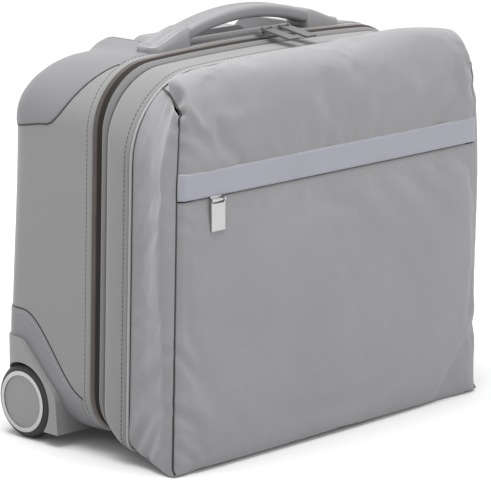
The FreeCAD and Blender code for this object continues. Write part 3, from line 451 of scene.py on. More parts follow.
EVEN = (1, 1, 1)
RECIPES = (
    ("shell_fabric", woven, grey(0.174, 0.01), 1.1 * MM, 0.10, 0.25, 0.08 * MM),
    ("ring_fabric", woven, grey(0.163, 0.015), 0.9 * MM, 0.08, 0.25, 0.06 * MM),
    ("pocket_fabric", woven, grey(0.186, 0.05, 0.01), 1.5 * MM, 0.25, 0.25, 0.15 * MM),
    ("lining_fabric", woven, grey(0.062, 0.05), 2.2 * MM, 0.2, 0.15),
    ("coated_panel", coated, grey(0.150, 0.06)),
    ("band_panel", coated, grey(0.222, 0.16), 0.42),
    ("edge_piping", coated, grey(0.26)),
    ("hem_thread", ribbed, grey(0.085), 0.5 * MM),
    ("stitch_thread", ribbed, grey(0.27), 0.5 * MM),
    ("seam_shadow", ribbed, grey(0.022), 0.8 * MM),
    ("zip_tape", ribbed, grey(0.115), 0.9 * MM),
    # painted shade: a near-black copy of the zip tape, for tape that lies in shade
    ("zip_tape_dark", ribbed, (0.024, 0.021, 0.020), 0.9 * MM),
    ("stiff_board", ribbed, grey(0.055), 2.4 * MM),
    ("zip_coil", moulded, (0.14, 0.118, 0.107), 0.38, 0.2),
    ("zip_pull", moulded, grey(0.09), 0.45),
    ("housing_plastic", moulded, grey(0.19, 0.01), 0.5),
    ("handle_plastic", moulded, grey(0.185, 0.03), 0.36),
    ("button_plastic", moulded, grey(0.08), 0.4),
    ("tyre", moulded, grey(0.012), 0.55, 0.2, 0.08 * MM),
    ("rim_plastic", moulded, grey(0.03), 0.5),
    ("hub_cap_grey", moulded, grey(0.185), 0.45),
    ("zip_metal", metal, grey(0.30), 0.38),
    ("silver_metal", metal, grey(0.44), 0.36, EVEN),
    ("trim_silver", metal, grey(0.42), 0.28, EVEN),
    ("tube_aluminium", metal, grey(0.58), 0.3),
    ("steel", metal, grey(0.5), 0.28),
)
MATERIALS = {name: make(name, *sizes) for name, make, *sizes in RECIPES}


def finish_cad_nodes():
    """Gives every shown CAD node the material of its slot."""
    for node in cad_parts.values():
        for k, slot in enumerate(node.data.materials):
            node.data.materials[k] = MATERIALS[slot.name.split(".")[0]]


# ---- the case's outline

BOTTOM_STEPS, ARC_STEPS, SIDE_STEPS, SHOULDER_STEPS, TOP_STEPS = 12, 12, 26, 5, 10
LEAST_ROUND = 4 * MM
FINE = 4  # an outline's steps are this much finer where a guard is cut from it


def side_half(z):
    """Half the case's width at a height."""
    return HALF_LOW + (HALF_HIGH - HALF_LOW) * (z - SHELL_BOTTOM) / (SHELL_TOP - SHELL_BOTTOM)


def crowned(points):
    """Lets the upper part of an outline fall towards its shoulders."""
    drop = TOP_CROWN * (np.abs(points[:, 0]) / CROWN_REACH) ** 2.2
    share = np.clip((points[:, 1] - CROWN_FOOT) / (SHELL_TOP - CROWN_FOOT), 0, 1)
    return np.stack([points[:, 0], points[:, 1] - drop * share], axis=1)


def half_outline(side=0.0, top=SHELL_TOP, bottom=SHELL_BOTTOM, round_high=ROUND_HIGH, round_low=ROUND_LOW,
                 fine=1):
    """Right half of the case's outline in X and Z, from the middle of the bottom to the middle of the top.

    side is how far the sides are drawn in; the second result is each point's share of top, from 0 to 1.
    """
    low_side, high_side = bottom + round_low, top - round_high
    low_end = side_half(low_side) - side - round_low
    high_end = side_half(high_side) - side - round_high
    bay = min(BAY_HIGH.x, high_end - LEAST_ROUND)
    runs = [
        straight((0, bottom), (low_end, bottom), BOTTOM_STEPS * fine),
        arc((low_end, low_side), round_low, -90, 0, ARC_STEPS * fine),
        straight((low_end + round_low, low_side), (high_end + round_high, high_side), SIDE_STEPS * fine),
        arc((high_end, high_side), round_high, 0, 90, ARC_STEPS * fine),
        straight((high_end, top), (bay, top), SHOULDER_STEPS * fine),
        straight((bay, top), (0, top), TOP_STEPS * fine),
        np.array([(0.0, top)]),
    ]
    shares = [0.0, 0.0, 0.0, smooth(np.linspace(0, 1, ARC_STEPS * fine)), 1.0, 1.0, 1.0]
    upness = np.concatenate([np.broadcast_to(s, len(r)) for s, r in zip(shares, runs)])
    return crowned(np.concatenate(runs)), upness


def outline(*args, **kwargs):
    """The whole closed outline, anticlockwise from the middle of the bottom, and its share of top."""
    right, upness = half_outline(*args, **kwargs)
    return np.concatenate([right, right[-2:0:-1] * (-1, 1)]), np.concatenate([upness, upness[-2:0:-1]])


def inset_outline(inset, fine=1):
    """The outline drawn in all round, with its corners drawn in as well."""
    return outline(inset, SHELL_TOP - inset, SHELL_BOTTOM + inset, max(ROUND_HIGH - inset, LEAST_ROUND),
                   max(ROUND_LOW - inset, LEAST_ROUND), fine)[0]


def outward(loop):
    """Outward unit normals of a closed outline in X and Z, as points in space."""
    along = np.roll(loop, -1, axis=0) - np.roll(loop, 1, axis=0)
    return unit(np.stack([along[:, 1], np.zeros(len(loop)), -along[:, 0]], axis=1))


def at_depth(loop, y):
    """Outline points placed at a depth, or at a depth each."""
    return np.stack([loop[:, 0], np.broadcast_to(y, len(loop)), loop[:, 1]], axis=1)


def lid_loop(ahead, inset, top, fine=1):
    """A loop of the lid in front of the shell, with its sides drawn in and its top at a height."""
    share = smooth(ahead / (ZIP_Y - SEAM_Y))
    high = ROUND_HIGH + (SEAM_ROUND - ROUND_HIGH) * share
    low = ROUND_LOW + (SEAM_ROUND_LOW - ROUND_LOW) * share
    bottom = SHELL_BOTTOM + (SEAM_BOTTOM - SHELL_BOTTOM) * share + inset
    loop = outline(inset, top, bottom, high - inset, max(low - inset, LEAST_ROUND), fine)[0]
    return at_depth(loop, ZIP_Y - ahead)


# ---- rear shell

BAY_DEPTH = SHELL_TOP - BAY_LOW.z
BAY_STEP = (BAY_LOW.y - ZIP_Y) / (BACK_Y - REAR_ROUND - ZIP_Y)
SIDE_STATIONS = [(s, 0.0, 0.0) for s in (*np.linspace(0.03, BAY_STEP, 6, endpoint=False),
                                          *np.linspace(BAY_STEP, 1.0, 10, endpoint=False))]
TURN_STATIONS = [(1.0, math.radians(a), 0.0) for a in (0, 10, 20, 31, 42, 53, 64, 75, 83, 90)]
BACK_STATIONS = [(1.0, math.pi / 2, extra) for extra in
                 (BAY_DEPTH - REAR_ROUND, *(e * MM for e in (8, 16, 26, 36, 55, 80, 108)))]
STATIONS = SIDE_STATIONS + TURN_STATIONS + BACK_STATIONS
LOW_SHARPER = 10 * MM  # how much tighter the rear edge turns low down
REAR_DROP = 12 * MM  # how far both shoulders fall towards the back
DROP_FADE = 30 * MM  # how far down the back this fall is lost
ROUND_FADE = 0.3  # how fast a changed rear edge is lost down the back
SHELL_THICK = 2.0 * MM
ARCH_SHARE = 0.86  # how much of the wheel housing's height and depth is open behind it
ARCH_WALL = 10 * MM  # the housing's inner wall, with skin behind it
ARCH_LOW_WALL, ARCH_LOW_SHARE = 20 * MM, 0.7


def shell_ring(station, fine=1):
    """Points and normals of one ring of the shell: along its sides, round its rear edge, or on its back."""
    along, turn, extra = station
    base, upness = outline(fine=fine)
    shoulder = smooth((np.abs(base[:, 0]) - BAY_HIGH.x) / (32 * MM)) * upness
    low = 1 - smooth((base[:, 1] - 80 * MM) / (200 * MM))
    radius = REAR_ROUND + (CORNER_ROUND - REAR_ROUND) * shoulder - LOW_SHARPER * low
    more = (radius - REAR_ROUND) * (1 - math.cos(turn))
    more = np.sign(more) * np.maximum(np.abs(more) - ROUND_FADE * extra, 0)
    side_in = REAR_ROUND * (1 - math.cos(turn)) + extra
    loop = inset_outline(side_in, fine)
    normals = outward(loop)
    points = at_depth(loop, ZIP_Y + along * (BACK_Y - radius - ZIP_Y) + radius * math.sin(turn))
    points = points - normals * more[:, None]
    fall = REAR_DROP * (1 - smooth(extra / DROP_FADE))
    points[:, 2] -= fall * np.clip((points[:, 1] - ZIP_Y) / (BACK_Y - ZIP_Y), 0, 1) ** 2 * shoulder
    normals = normals * math.cos(turn) + np.array([0.0, math.sin(turn), 0.0])
    return points, normals


def in_bay(p, margin=0.0):
    """Whether a point of the top or back lies over the trolley handle's bay."""
    over = BAY_LOW.z - TOP_CROWN - margin if p[1] < BACK_Y - 1 * MM else BAY_LOW.z - 1 * MM - margin
    return abs(p[0]) < BAY_HIGH.x + margin and p[1] > BAY_LOW.y - margin and p[2] > over


def in_wheel_arch(p):
    """Whether a point lies behind the wheel housing's skin, which is lower towards the case's middle."""
    inboard = abs(p[0]) - HOUSING_LOW.x
    back = (HOUSING_HIGH.y - p[1]) / (HOUSING_HIGH.y - HOUSING_LOW.y)
    up = (p[2] - HOUSING_LOW.z) / (HOUSING_HIGH.z - HOUSING_LOW.z)
    if inboard < ARCH_WALL or (inboard < ARCH_LOW_WALL and up > ARCH_LOW_SHARE):
        return False
    return math.hypot(max(back, 0), max(up, 0)) < ARCH_SHARE


def make_shell():
    """The moulded rear shell's fabric, with its turned front edge and lined inside."""
    def rim(depth, inset):
        return at_depth(inset_outline(inset * MM), ZIP_Y + depth * MM)

    lip = [rim(depth, inset) for depth, inset in ((0.9, 3.4), (0, 2.3), (0.2, 0.9), (1.2, 0.2))]
    points = np.stack(lip + [shell_ring(s)[0] for s in STATIONS])
    shell = grid("shell_cover", points, "shell_fabric", "lining_fabric", closed=True, flip=True,
                 keep=lambda p: not in_bay(p) and not in_wheel_arch(p), cap=True)
    place(thicken(shell, SHELL_THICK), "root", "shell_fabric", "rear_shell")
    hem, out = np.roll(rim(6.5, 0), 6, axis=0), np.roll(outward(outline()[0]), 6, axis=0)
    hem_stitches("shell_hem_stitching", hem, out, "root")


# ---- guards

GUARD_PROUD = 1.1 * MM
GUARD_SUNK = 0.6 * MM
GUARD_LIP = 1.2 * MM
GUARD_FRONT = 0.10  # where the guards start, as a share of the shell's side
STITCH_INSET = 4.5 * MM


def top_guard_edge(y):
    """Height of the top guard's lower edge at a depth."""
    fall = 58 * MM * smooth((y - ZIP_Y - 2 * MM) / (60 * MM))
    return SHELL_TOP - 6 * MM - fall - 7 * MM * smooth((y - ZIP_Y - 58 * MM) / (55 * MM))


def bottom_guard_edge(y):
    """Height of the bottom guard's upper edge at a depth."""
    return SHELL_BOTTOM + 37 * MM + 71.5 * MM * smooth((y - ZIP_Y - 4 * MM) / (88 * MM))


def inner_run(points, normals, inside, seed):
    """The unbroken run of a loop around a seed point where inside is above 0, with its ends exactly at 0."""
    points, normals, inside = (np.roll(a, -seed, axis=0) for a in (points, normals, inside))
    forward = int(np.argmax(inside <= 0))
    backward = int(np.argmax(inside[::-1] <= 0))
    if not (inside <= 0).any():
        return points, normals

    def crossing(values, kept, lost):
        t = inside[kept] / (inside[kept] - inside[lost])
        return values[kept] + (values[lost] - values[kept]) * t

    order = [*range(-backward, 0), *range(forward)]
    first, last = (order[0], order[0] - 1), (order[-1], order[-1] + 1)
    return [np.concatenate([[crossing(v, *first)], v[order], [crossing(v, *last)]])
            for v in (points, normals)]


def guard_grid(stations, inside_at, seed_at, count):
    """Points and normals of a guard: at each station the part of the shell's ring inside the guard's edge."""
    rows, ups = [], []
    for station in stations:
        points, normals = shell_ring(station, FINE)
        run, out = inner_run(points, normals, inside_at(points), seed_at(points))
        where = lip_spacing(lengths(run)[-1], count, GUARD_LIP)
        rows.append(at_distances(run, run, where))
        ups.append(unit(at_distances(run, out, where)))
    return np.array(rows), np.array(ups)


def lifted(points, normals):
    """A patch raised off its surface, with its border sunk into it."""
    height = np.full(points.shape[:2], GUARD_PROUD)
    height[1], height[-2], height[:, 1], height[:, -2] = (GUARD_PROUD * 0.8,) * 4
    height[0], height[-1], height[:, 0], height[:, -1] = (-GUARD_SUNK,) * 4
    return points + normals * height[:, :, None]


def guard_stations(last_extra):
    """Stations of a guard from near the zip, over the rear edge, to a distance down the back."""
    lip = GUARD_LIP / (BACK_Y - REAR_ROUND - ZIP_Y)
    first = [(GUARD_FRONT, 0.0, 0.0), (GUARD_FRONT + lip, 0.0, 0.0)]
    between = [s for s in STATIONS if s[0] > GUARD_FRONT + 2 * lip and s[2] < last_extra - 2 * GUARD_LIP]
    last = [(1.0, math.pi / 2, last_extra - d) for d in (GUARD_LIP, 0.0)]
    return first + between + last


def guard_trim(points, normals, column, near):
    """A dark line of painted shade in the gap round a guard's edge, and a row of stitches inside it."""
    count = 260
    edge = resample(points[:, column], count)
    out = unit(resample(points[:, column], count, normals[:, column]))
    # painted shade: a dark flattened tube stands for the shadow in the gap at the guard's edge
    line = tube_parts(edge + out * THREAD_RISE, 0.8 * MM, out, flat=0.5)
    inward = unit(points[:, near] - points[:, column])
    seam = points[:, column] + inward * STITCH_INSET
    seam_out = unit(resample(seam, count, normals[:, near]))
    row = resample(seam, count) + seam_out * (GUARD_PROUD + 0.05 * MM)
    return line, bar_parts(row, seam_out, **STITCH)


def make_guard(prefix, ending, node, points, normals, columns, keep):
    """A coated panel over part of the shell, with a line of painted shade and stitches along some of its
    edges.
    """
    panel = grid(prefix + "_cover" + ending, lifted(points, normals), "coated_panel", flip=True, keep=keep)
    place(panel, "root", "coated_panel", node)
    lines, stitches = zip(*[guard_trim(points, normals, *pair) for pair in columns])
    gathered(prefix + "_edge_painted_shade" + ending, lines, "seam_shadow", "root", "coated_panel")
    gathered(prefix + "_stitching" + ending, stitches, "stitch_thread", "root", "coated_panel")


LEFT_EDGE, RIGHT_EDGE = (0, 8), (-1, -9)  # a guard's outermost column, and one further in


def make_top_guard():
    """The coated panel over the top and both upper corners."""
    points, normals = guard_grid(guard_stations(40 * MM), lambda p: p[:, 2] - top_guard_edge(p[:, 1]),
                                 lambda p: int(np.argmax(p[:, 2] - np.abs(p[:, 0]) * 0.2)), 130)
    make_guard("top_guard", "", "top_guard_panel", points, normals, (LEFT_EDGE, RIGHT_EDGE),
               lambda p: not in_bay(p, -1.0 * MM))


def make_bottom_guard(name, side):
    """The coated corner between the zip, the wheel housing and the back."""
    inner = 150 * MM

    def inside(p):
        return np.minimum(bottom_guard_edge(p[:, 1]) - p[:, 2], p[:, 0] * side - inner)

    points, normals = guard_grid(guard_stations(20 * MM), inside,
                                 lambda p: int(np.argmax(p[:, 0] * side - p[:, 2] * 1.2)), 60)
    make_guard("bottom_guard", "_" + name, "bottom_guard_" + name, points, normals,
               (RIGHT_EDGE if side > 0 else LEFT_EDGE,), lambda p: not in_wheel_arch(p))


# ---- zip and lid ring

COIL_AHEAD = 2.2 * MM
TOOTH_PITCH = 1.8 * MM
TOOTH_ACROSS = 3.5 * MM

# rows of distance in front of the shell, inset of the sides and height of the top, in mm
EDGE_TAPE_ROWS = ((2.4, 2.5, 363.2), (4.4, 3.2, 362.8), (5.6, 6.4, 360.0), (7.4, 7.4, 359.0),
                  (9.0, 7.2, 359.0))
LID_TAPE_ROWS = ((8.4, 7.0, 359.2), (9.0, 4.4, 360.8), (10.0, 3.0, 361.8), (12.0, 2.4, 361.3),
                 (14.4, 2.3, 360.2), (16.0, 2.7, 359.2), (17.0, 5.0, 357.0))
RING_ROWS = ((16.6, 6.4, 355.5), (17.2, 3.8, 357.4), (18.2, 2.2, 358.6), (20.0, 1.2, 359.0),
             (24.5, 0.6, 359.0), (31.0, 0.2, 358.6), (38.0, 0.3, 358.2), (43.0, 0.8, 357.7),
             (46.0, 1.6, 357.2), (47.4, 2.8, 356.2), (48.0, 4.6, 354.5))
SHELL_TAPE_ROWS = ((-2.0, 3.4, 360.6), (0.6, 3.0, 361.0), (COIL_AHEAD / MM - 0.2, 2.6, 361.4))
TAPE_THICK = 0.8 * MM


def lid_rows(table):
    return np.stack([lid_loop(ahead * MM, inset * MM, top * MM) for ahead, inset, top in table])


def seam_loop(fine=1):
    """The line where the pocket is sewn to the lid ring."""
    return lid_loop(ZIP_Y - SEAM_Y, SEAM_INSET, SEAM_TOP, fine)


def loop_normals(loop):
    """Outward directions of a closed loop, level in Y."""
    return outward(loop[:, [0, 2]])


def open_path(loop, half):
    """A loop and its normals without the stretch of bottom between the hinge's ends."""
    normals = loop_normals(loop)
    kept = ~((np.abs(loop[:, 0]) < half) & (loop[:, 2] < loop[:, 2].mean()))
    first = int(np.argmax(kept & ~np.roll(kept, 1)))
    count = int(kept.sum())
    return np.roll(loop, -first, axis=0)[:count], np.roll(normals, -first, axis=0)[:count]


def make_zip():
    """Both halves of the main zip: a tape each, and two rows of meshed coil."""
    # painted shade: the shell's tape, tucked in beside the coil, takes the near-black copy of the zip tape
    tape = grid("shell_zip_tape", lid_rows(SHELL_TAPE_ROWS), "zip_tape_dark", closed=True)
    place(thicken(tape, TAPE_THICK), "root", "zip_coil", "zip_chain_shell")
    path, out = open_path(lid_loop(COIL_AHEAD, 1.8 * MM, 362.9 * MM), HINGE_HIGH.x)
    path, out = resample(path, 900), unit(resample(path, 900, out))
    for name, body, shift, start in (("shell_zip_coil", "root", 1.15 * MM, 0.0),
                                     ("lid_zip_coil", "lid", -1.15 * MM, TOOTH_PITCH / 2)):
        teeth = bar_parts(path + (0, shift, 0), out, TOOTH_PITCH, TOOTH_PITCH * 0.5, TOOTH_ACROSS, 1.9 * MM,
                          start)
        gathered(name, [teeth], "zip_coil", body, "zip_coil")


def make_lid_ring():
    """The lid's padded ring, its zip tape and the piping at the pocket's seam."""
    # painted shade: the tape's recessed edge in front of the coil takes the near-black copy of the zip tape
    edge = grid("lid_zip_tape_edge", lid_rows(EDGE_TAPE_ROWS), "zip_tape_dark", closed=True)
    place(thicken(edge, TAPE_THICK), "lid", "zip_coil")
    tape = grid("lid_zip_tape", lid_rows(LID_TAPE_ROWS), "zip_tape", closed=True)
    place(thicken(tape, TAPE_THICK), "lid", "zip_coil", "zip_chain_lid")
    ring = grid("lid_ring_cover", lid_rows(RING_ROWS), "ring_fabric", "lining_fabric", closed=True)
    place(thicken(ring, SHELL_THICK), "lid", "shell_fabric", "lid_ring")
    seam = lid_loop(ZIP_Y - SEAM_Y - 0.8 * MM, SEAM_INSET - 1.3 * MM, SEAM_TOP + 0.6 * MM)
    out = loop_normals(seam)
    seam, out = (np.concatenate([a, a[:1]]) for a in (seam, out))
    gathered("lid_piping_cord", [tube_parts(seam, 1.3 * MM, out)], "edge_piping", "lid", "shell_fabric",
             "lid_piping")
    hem = lid_loop(ZIP_Y - SEAM_Y - 8 * MM, 0.35 * MM, 357.75 * MM)
    hem_stitches("lid_ring_stitching", hem, loop_normals(hem), "lid")


def make_lid_lining():
    """The stiff panel inside the lid, covered in lining and quilted in broad diamonds."""
    base = seam_loop()[:, [0, 2]]
    middle = np.array([0.0, base[:, 1].mean()])
    edge = middle + (base - middle) * 0.985
    rows = []
    for share in np.linspace(0, 0.96, 30):
        flat = edge + (middle - edge) * share
        rows.append(at_depth(flat, BOARD_HIGH.y + quilt(flat) * smooth(share * 8)))
    panel = grid("lid_lining_cover", rows, "lining_fabric", closed=True, flip=True, cap=True)
    place(thicken(panel, 2.3 * MM), "lid", "lining_fabric", "lid_board")


def make_hinge_strip():
    """The fabric strip under the case that the lid turns on, laid flat with a slight ripple along its fold.
    """
    depth = np.linspace(ZIP_Y + 6 * MM, ZIP_Y - 18 * MM, 14)[:, None]
    across = np.linspace(-HINGE_HIGH.x, HINGE_HIGH.x, 60)
    ripple = 0.5 * MM * np.sin(across * 140) * np.exp(-((depth + 7 * MM) / (4 * MM)) ** 2)
    points = np.stack(np.broadcast_arrays(across, depth, SHELL_BOTTOM - 0.1 * MM + ripple), axis=2)
    strip = thicken(grid("lid_hinge_cover", points, "ring_fabric"), 0.9 * MM)
    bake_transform(strip)
    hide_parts("lid_hinge_strip")


# ---- front pocket

PINCH = math.radians(58)  # where on the top corner the pocket's side seam starts
CORNER_HEIGHT = 327 * MM  # where the pocket's upright seam turns back to the ring
RIDGE_TOP = UPPER_HIGH.z - 1 * MM
RIDGE_DROP = 12 * MM  # how much lower the ridge is near its ends
RIDGE_SAG = 4.5 * MM  # and from its middle to the left
RIDGE_Y = UPPER_LOW.y + 24 * MM
PANEL_LOW = 205.5 * MM  # half the front's width at the floor
PANEL_MID = 199 * MM  # and at the band
PANEL_TURN = 195 * MM  # and where the seam turns back
PANEL_COLS = 91
FLOOR_GAP = 0.4 * MM
RISE_ROWS, FALL_ROWS, BASE_ROWS = 14, 12, 10
UPPER_FACE_ROWS = 18
CLOTH_THICK = 1.2 * MM
CLOTH_FRAMES = 16
CLOTH_REACH = 3.0 * MM  # how far the simulation may move a point


def panel_half(z):
    """Half the front panel's width at a height."""
    heights = [0.0, 0.5 * (BAND_LOW.z + BAND_HIGH.z), CORNER_HEIGHT]
    return np.interp(z, heights, [PANEL_LOW, PANEL_MID, PANEL_TURN])


def panel_spread():
    """Positions across the panel from -1 to 1, closer together at the two seams."""
    s = np.linspace(-1, 1, PANEL_COLS)
    return np.sign(s) * (1 - (1 - np.abs(s)) ** 1.25)


def front_crown(s, z):
    """How far the front face stands out: fullest low down, drawn in at the seams."""
    rise = 0.35 + 0.65 * np.exp(-((z - 130 * MM) / (110 * MM)) ** 2)
    return 3.2 * MM * (1 - np.abs(s) ** 4) * rise


def turned_edge(s, half):
    """How far a panel's side edge rolls back into its seam."""
    return 4.5 * MM * (1 - smooth((1 - np.abs(s)) * half / (5 * MM))) ** 1.6


def face_row(z, y=None):
    """A row of the front face at a height."""
    s = panel_spread()
    half = panel_half(z)
    front = FRONT_Y - front_crown(s, z) + turned_edge(s, half) if y is None else np.full(len(s), y)
    return np.stack([s * half, front, np.full(len(s), z)], axis=1)


def upper_seam():
    """The right upper part of the ring's seam, from the middle of the top down its side, as X and Z."""
    loop = seam_loop(FINE)
    right = loop[(loop[:, 0] >= 0) & (loop[:, 2] > SHELL_TOP - 140 * MM)]
    return right[np.argsort(right[:, 0] - right[:, 2])][:, [0, 2]]


def pinch_point():
    """Where the pocket's side seam meets the ring's seam, as X and Z."""
    seam = upper_seam()
    slope = np.degrees(np.arctan2(np.gradient(seam[:, 0]), -np.gradient(seam[:, 1])))
    return seam[int(np.argmin(np.abs(slope - math.degrees(PINCH))))]


def top_rows():
    """Rows of the upper panel from where the side seam turns, over the ridge, to the ring's seam."""
    s = panel_spread()
    seam = upper_seam()
    pinch_x, pinch_z = pinch_point()
    ridge = RIDGE_TOP - RIDGE_DROP * np.abs(s) ** 4 - RIDGE_SAG * (1 - smooth((s - 0.1) / 0.5))
    start_y = FRONT_Y - front_crown(s, CORNER_HEIGHT) + turned_edge(s, PANEL_TURN)
    end_z = np.interp(np.abs(s) * pinch_x, seam[:, 0], seam[:, 1])
    tuck = smooth((np.abs(s) - 0.94) / 0.06) ** 1.2
    rows = []
    for k in range(1, RISE_ROWS + FALL_ROWS - 1):
        if k < RISE_ROWS:
            t = k / (RISE_ROWS - 1)
            z = bezier(CORNER_HEIGHT, CORNER_HEIGHT + 0.62 * (ridge - CORNER_HEIGHT), ridge, ridge, t)
            y = bezier(start_y, start_y + 0.5 * MM, RIDGE_Y - 13 * MM, RIDGE_Y, t)
        else:
            t = (k - RISE_ROWS + 1) / (FALL_ROWS - 1)
            z = bezier(ridge, ridge - 0.1 * MM, end_z + (ridge - end_z) * 0.45, end_z, t)
            y = bezier(RIDGE_Y, RIDGE_Y + 12 * MM, SEAM_Y - 12 * MM, SEAM_Y - 0.6 * MM, t)
        share = (y - FRONT_Y) / (SEAM_Y - FRONT_Y)
        seam_x = PANEL_TURN + (pinch_x - PANEL_TURN) * share
        seam_z = CORNER_HEIGHT + (pinch_z - CORNER_HEIGHT) * share
        seam_z = seam_z + 3.0 * MM * np.sin(math.pi * np.clip(share, 0, 1))
        full_x = np.abs(s) * (PANEL_TURN + (pinch_x - PANEL_TURN) * smooth((share - 0.45) / 0.55))
        x = np.sign(s) * (full_x + (np.abs(s) * seam_x - full_x) * tuck)
        rows.append(np.stack(np.broadcast_arrays(x, y, z + (seam_z - z) * tuck), axis=1))
    return rows


def foot_edge():
    """The right part of the ring's seam under the case, from its middle to half way round its corner."""
    loop = seam_loop(FINE)
    corner_z = SEAM_BOTTOM + SEAM_INSET + SEAM_ROUND_LOW * (1 - math.cos(math.radians(45)))
    part = loop[(loop[:, 0] >= 0) & (loop[:, 2] < corner_z)]
    return part[np.argsort(part[:, 0])][:, [0, 2]]


def base_rows():
    """Rows under the pocket, from the ring's seam down to the floor behind the front face."""
    s = panel_spread()
    foot_x, foot_z = foot_edge().T
    rows = []
    for t in np.linspace(0, 1, BASE_ROWS, endpoint=False):
        z = np.interp(np.abs(s) * foot_x[-1], foot_x, foot_z)
        y = SEAM_Y - 0.6 * MM + (FRONT_Y + 6.5 * MM - SEAM_Y) * t
        half = foot_x[-1] + (PANEL_LOW - foot_x[-1]) * t
        rows.append(np.stack(np.broadcast_arrays(s * half, y, z + (FLOOR_GAP - z) * t ** 0.8), axis=1))
    return rows


def creased(points, normals, folds, side=1):
    """Presses soft folds into a grid, each deepest at its start; side mirrors them in X."""
    for start, end, width, depth in folds:
        a, b, width = np.array(start) * (side * MM, MM, MM), np.array(end) * (side * MM, MM, MM), width * MM
        t = np.clip(((points - a) @ (b - a)) / ((b - a) @ (b - a)), 0, 1)
        gap = np.linalg.norm(points - (a + t[..., None] * (b - a)), axis=-1)
        press = np.exp(-(gap / width) ** 2) - 0.55 * np.exp(-((gap - 1.7 * width) / width) ** 2)
        points = points - normals * (press * smooth(1 - t) ** 0.7 * depth * MM)[..., None]
    return points


# folds in the cloth: start and end in mm, half width and depth in mm
LOWER_FOLDS = (
    ((-207, -112, 118), (-172, -113, 84), 5.0, 2.4),
    ((-208, -112, 62), (-166, -113, 40), 5.5, 2.6),
    ((-208, -112, 30), (-180, -112, 12), 4.5, 2.0),
    ((206, -112, 70), (150, -114, 30), 9.0, 1.8),
    ((-203, -112, 236), (-180, -112, 222), 5.0, 1.0))
UPPER_FOLDS = (
    ((-194, -108, 330), (-176, -111, 312), 4.0, 3.4),
    ((-196, -112, 316), (-158, -112, 300), 6.0, 2.0),
    ((-199, -112, 300), (-180, -112, 288), 6.0, 1.2),
    ((-186, -100, 340), (-156, -94, 350), 6.0, 2.4),
    ((197, -112, 322), (176, -112, 330), 6.0, 2.6),
    ((199, -112, 300), (178, -112, 334), 7.0, 1.8),
    ((-166, -62, 348), (-120, -84, 364), 7.0, 1.6),
    ((60, -58, 360), (120, -80, 369), 14.0, 1.0))
GUSSET_FOLDS = (
    ((206, -62, 20), (210, -84, 60), 6.0, 2.2),
    ((206, -74, 10), (211, -96, 52), 5.0, 2.2),
    ((176, -66, 336), (200, -92, 292), 6.0, 2.0),
    ((188, -90, 326), (204, -98, 250), 7.0, 2.4))


def billow(points, push, slack):
    """Lets the cloth of a grid settle between its sewn edges, under a little pressure from inside."""
    rows, cols = points.shape[:2]
    piece = grid("billow", points, "pocket_fabric")
    away = np.minimum.outer(np.minimum(np.arange(rows), np.arange(rows)[::-1]),
                            np.minimum(np.arange(cols), np.arange(cols)[::-1])).ravel()
    pins = piece.vertex_groups.new(name="pins")
    for ring, weight in enumerate((1.0, 1.0, 0.6, 0.3)):
        pins.add([int(i) for i in np.flatnonzero(away == ring)], weight, "REPLACE")
    cloth = piece.modifiers.new("cloth", "CLOTH")
    settings = cloth.settings
    settings.quality = 6
    settings.mass = 0.25
    settings.tension_stiffness = settings.compression_stiffness = 12
    settings.shear_stiffness = 6
    settings.bending_stiffness = 0.6
    settings.vertex_group_mass = "pins"
    settings.shrink_min = -slack
    settings.use_pressure = True
    settings.uniform_pressure_force = push
    settings.effector_weights.gravity = 0
    cloth.collision_settings.use_collision = False
    scene = bpy.context.scene
    for number in range(1, CLOTH_FRAMES + 1):
        scene.frame_set(number)
    shown = piece.evaluated_get(bpy.context.evaluated_depsgraph_get())
    moved = np.array([v.co for v in shown.data.vertices]).reshape(points.shape)
    scene.frame_set(1)
    bpy.data.objects.remove(piece)
    step = moved - points
    length = np.maximum(np.linalg.norm(step, axis=2, keepdims=True), 1e-9)
    return points + step / length * CLOTH_REACH * np.tanh(length / CLOTH_REACH)


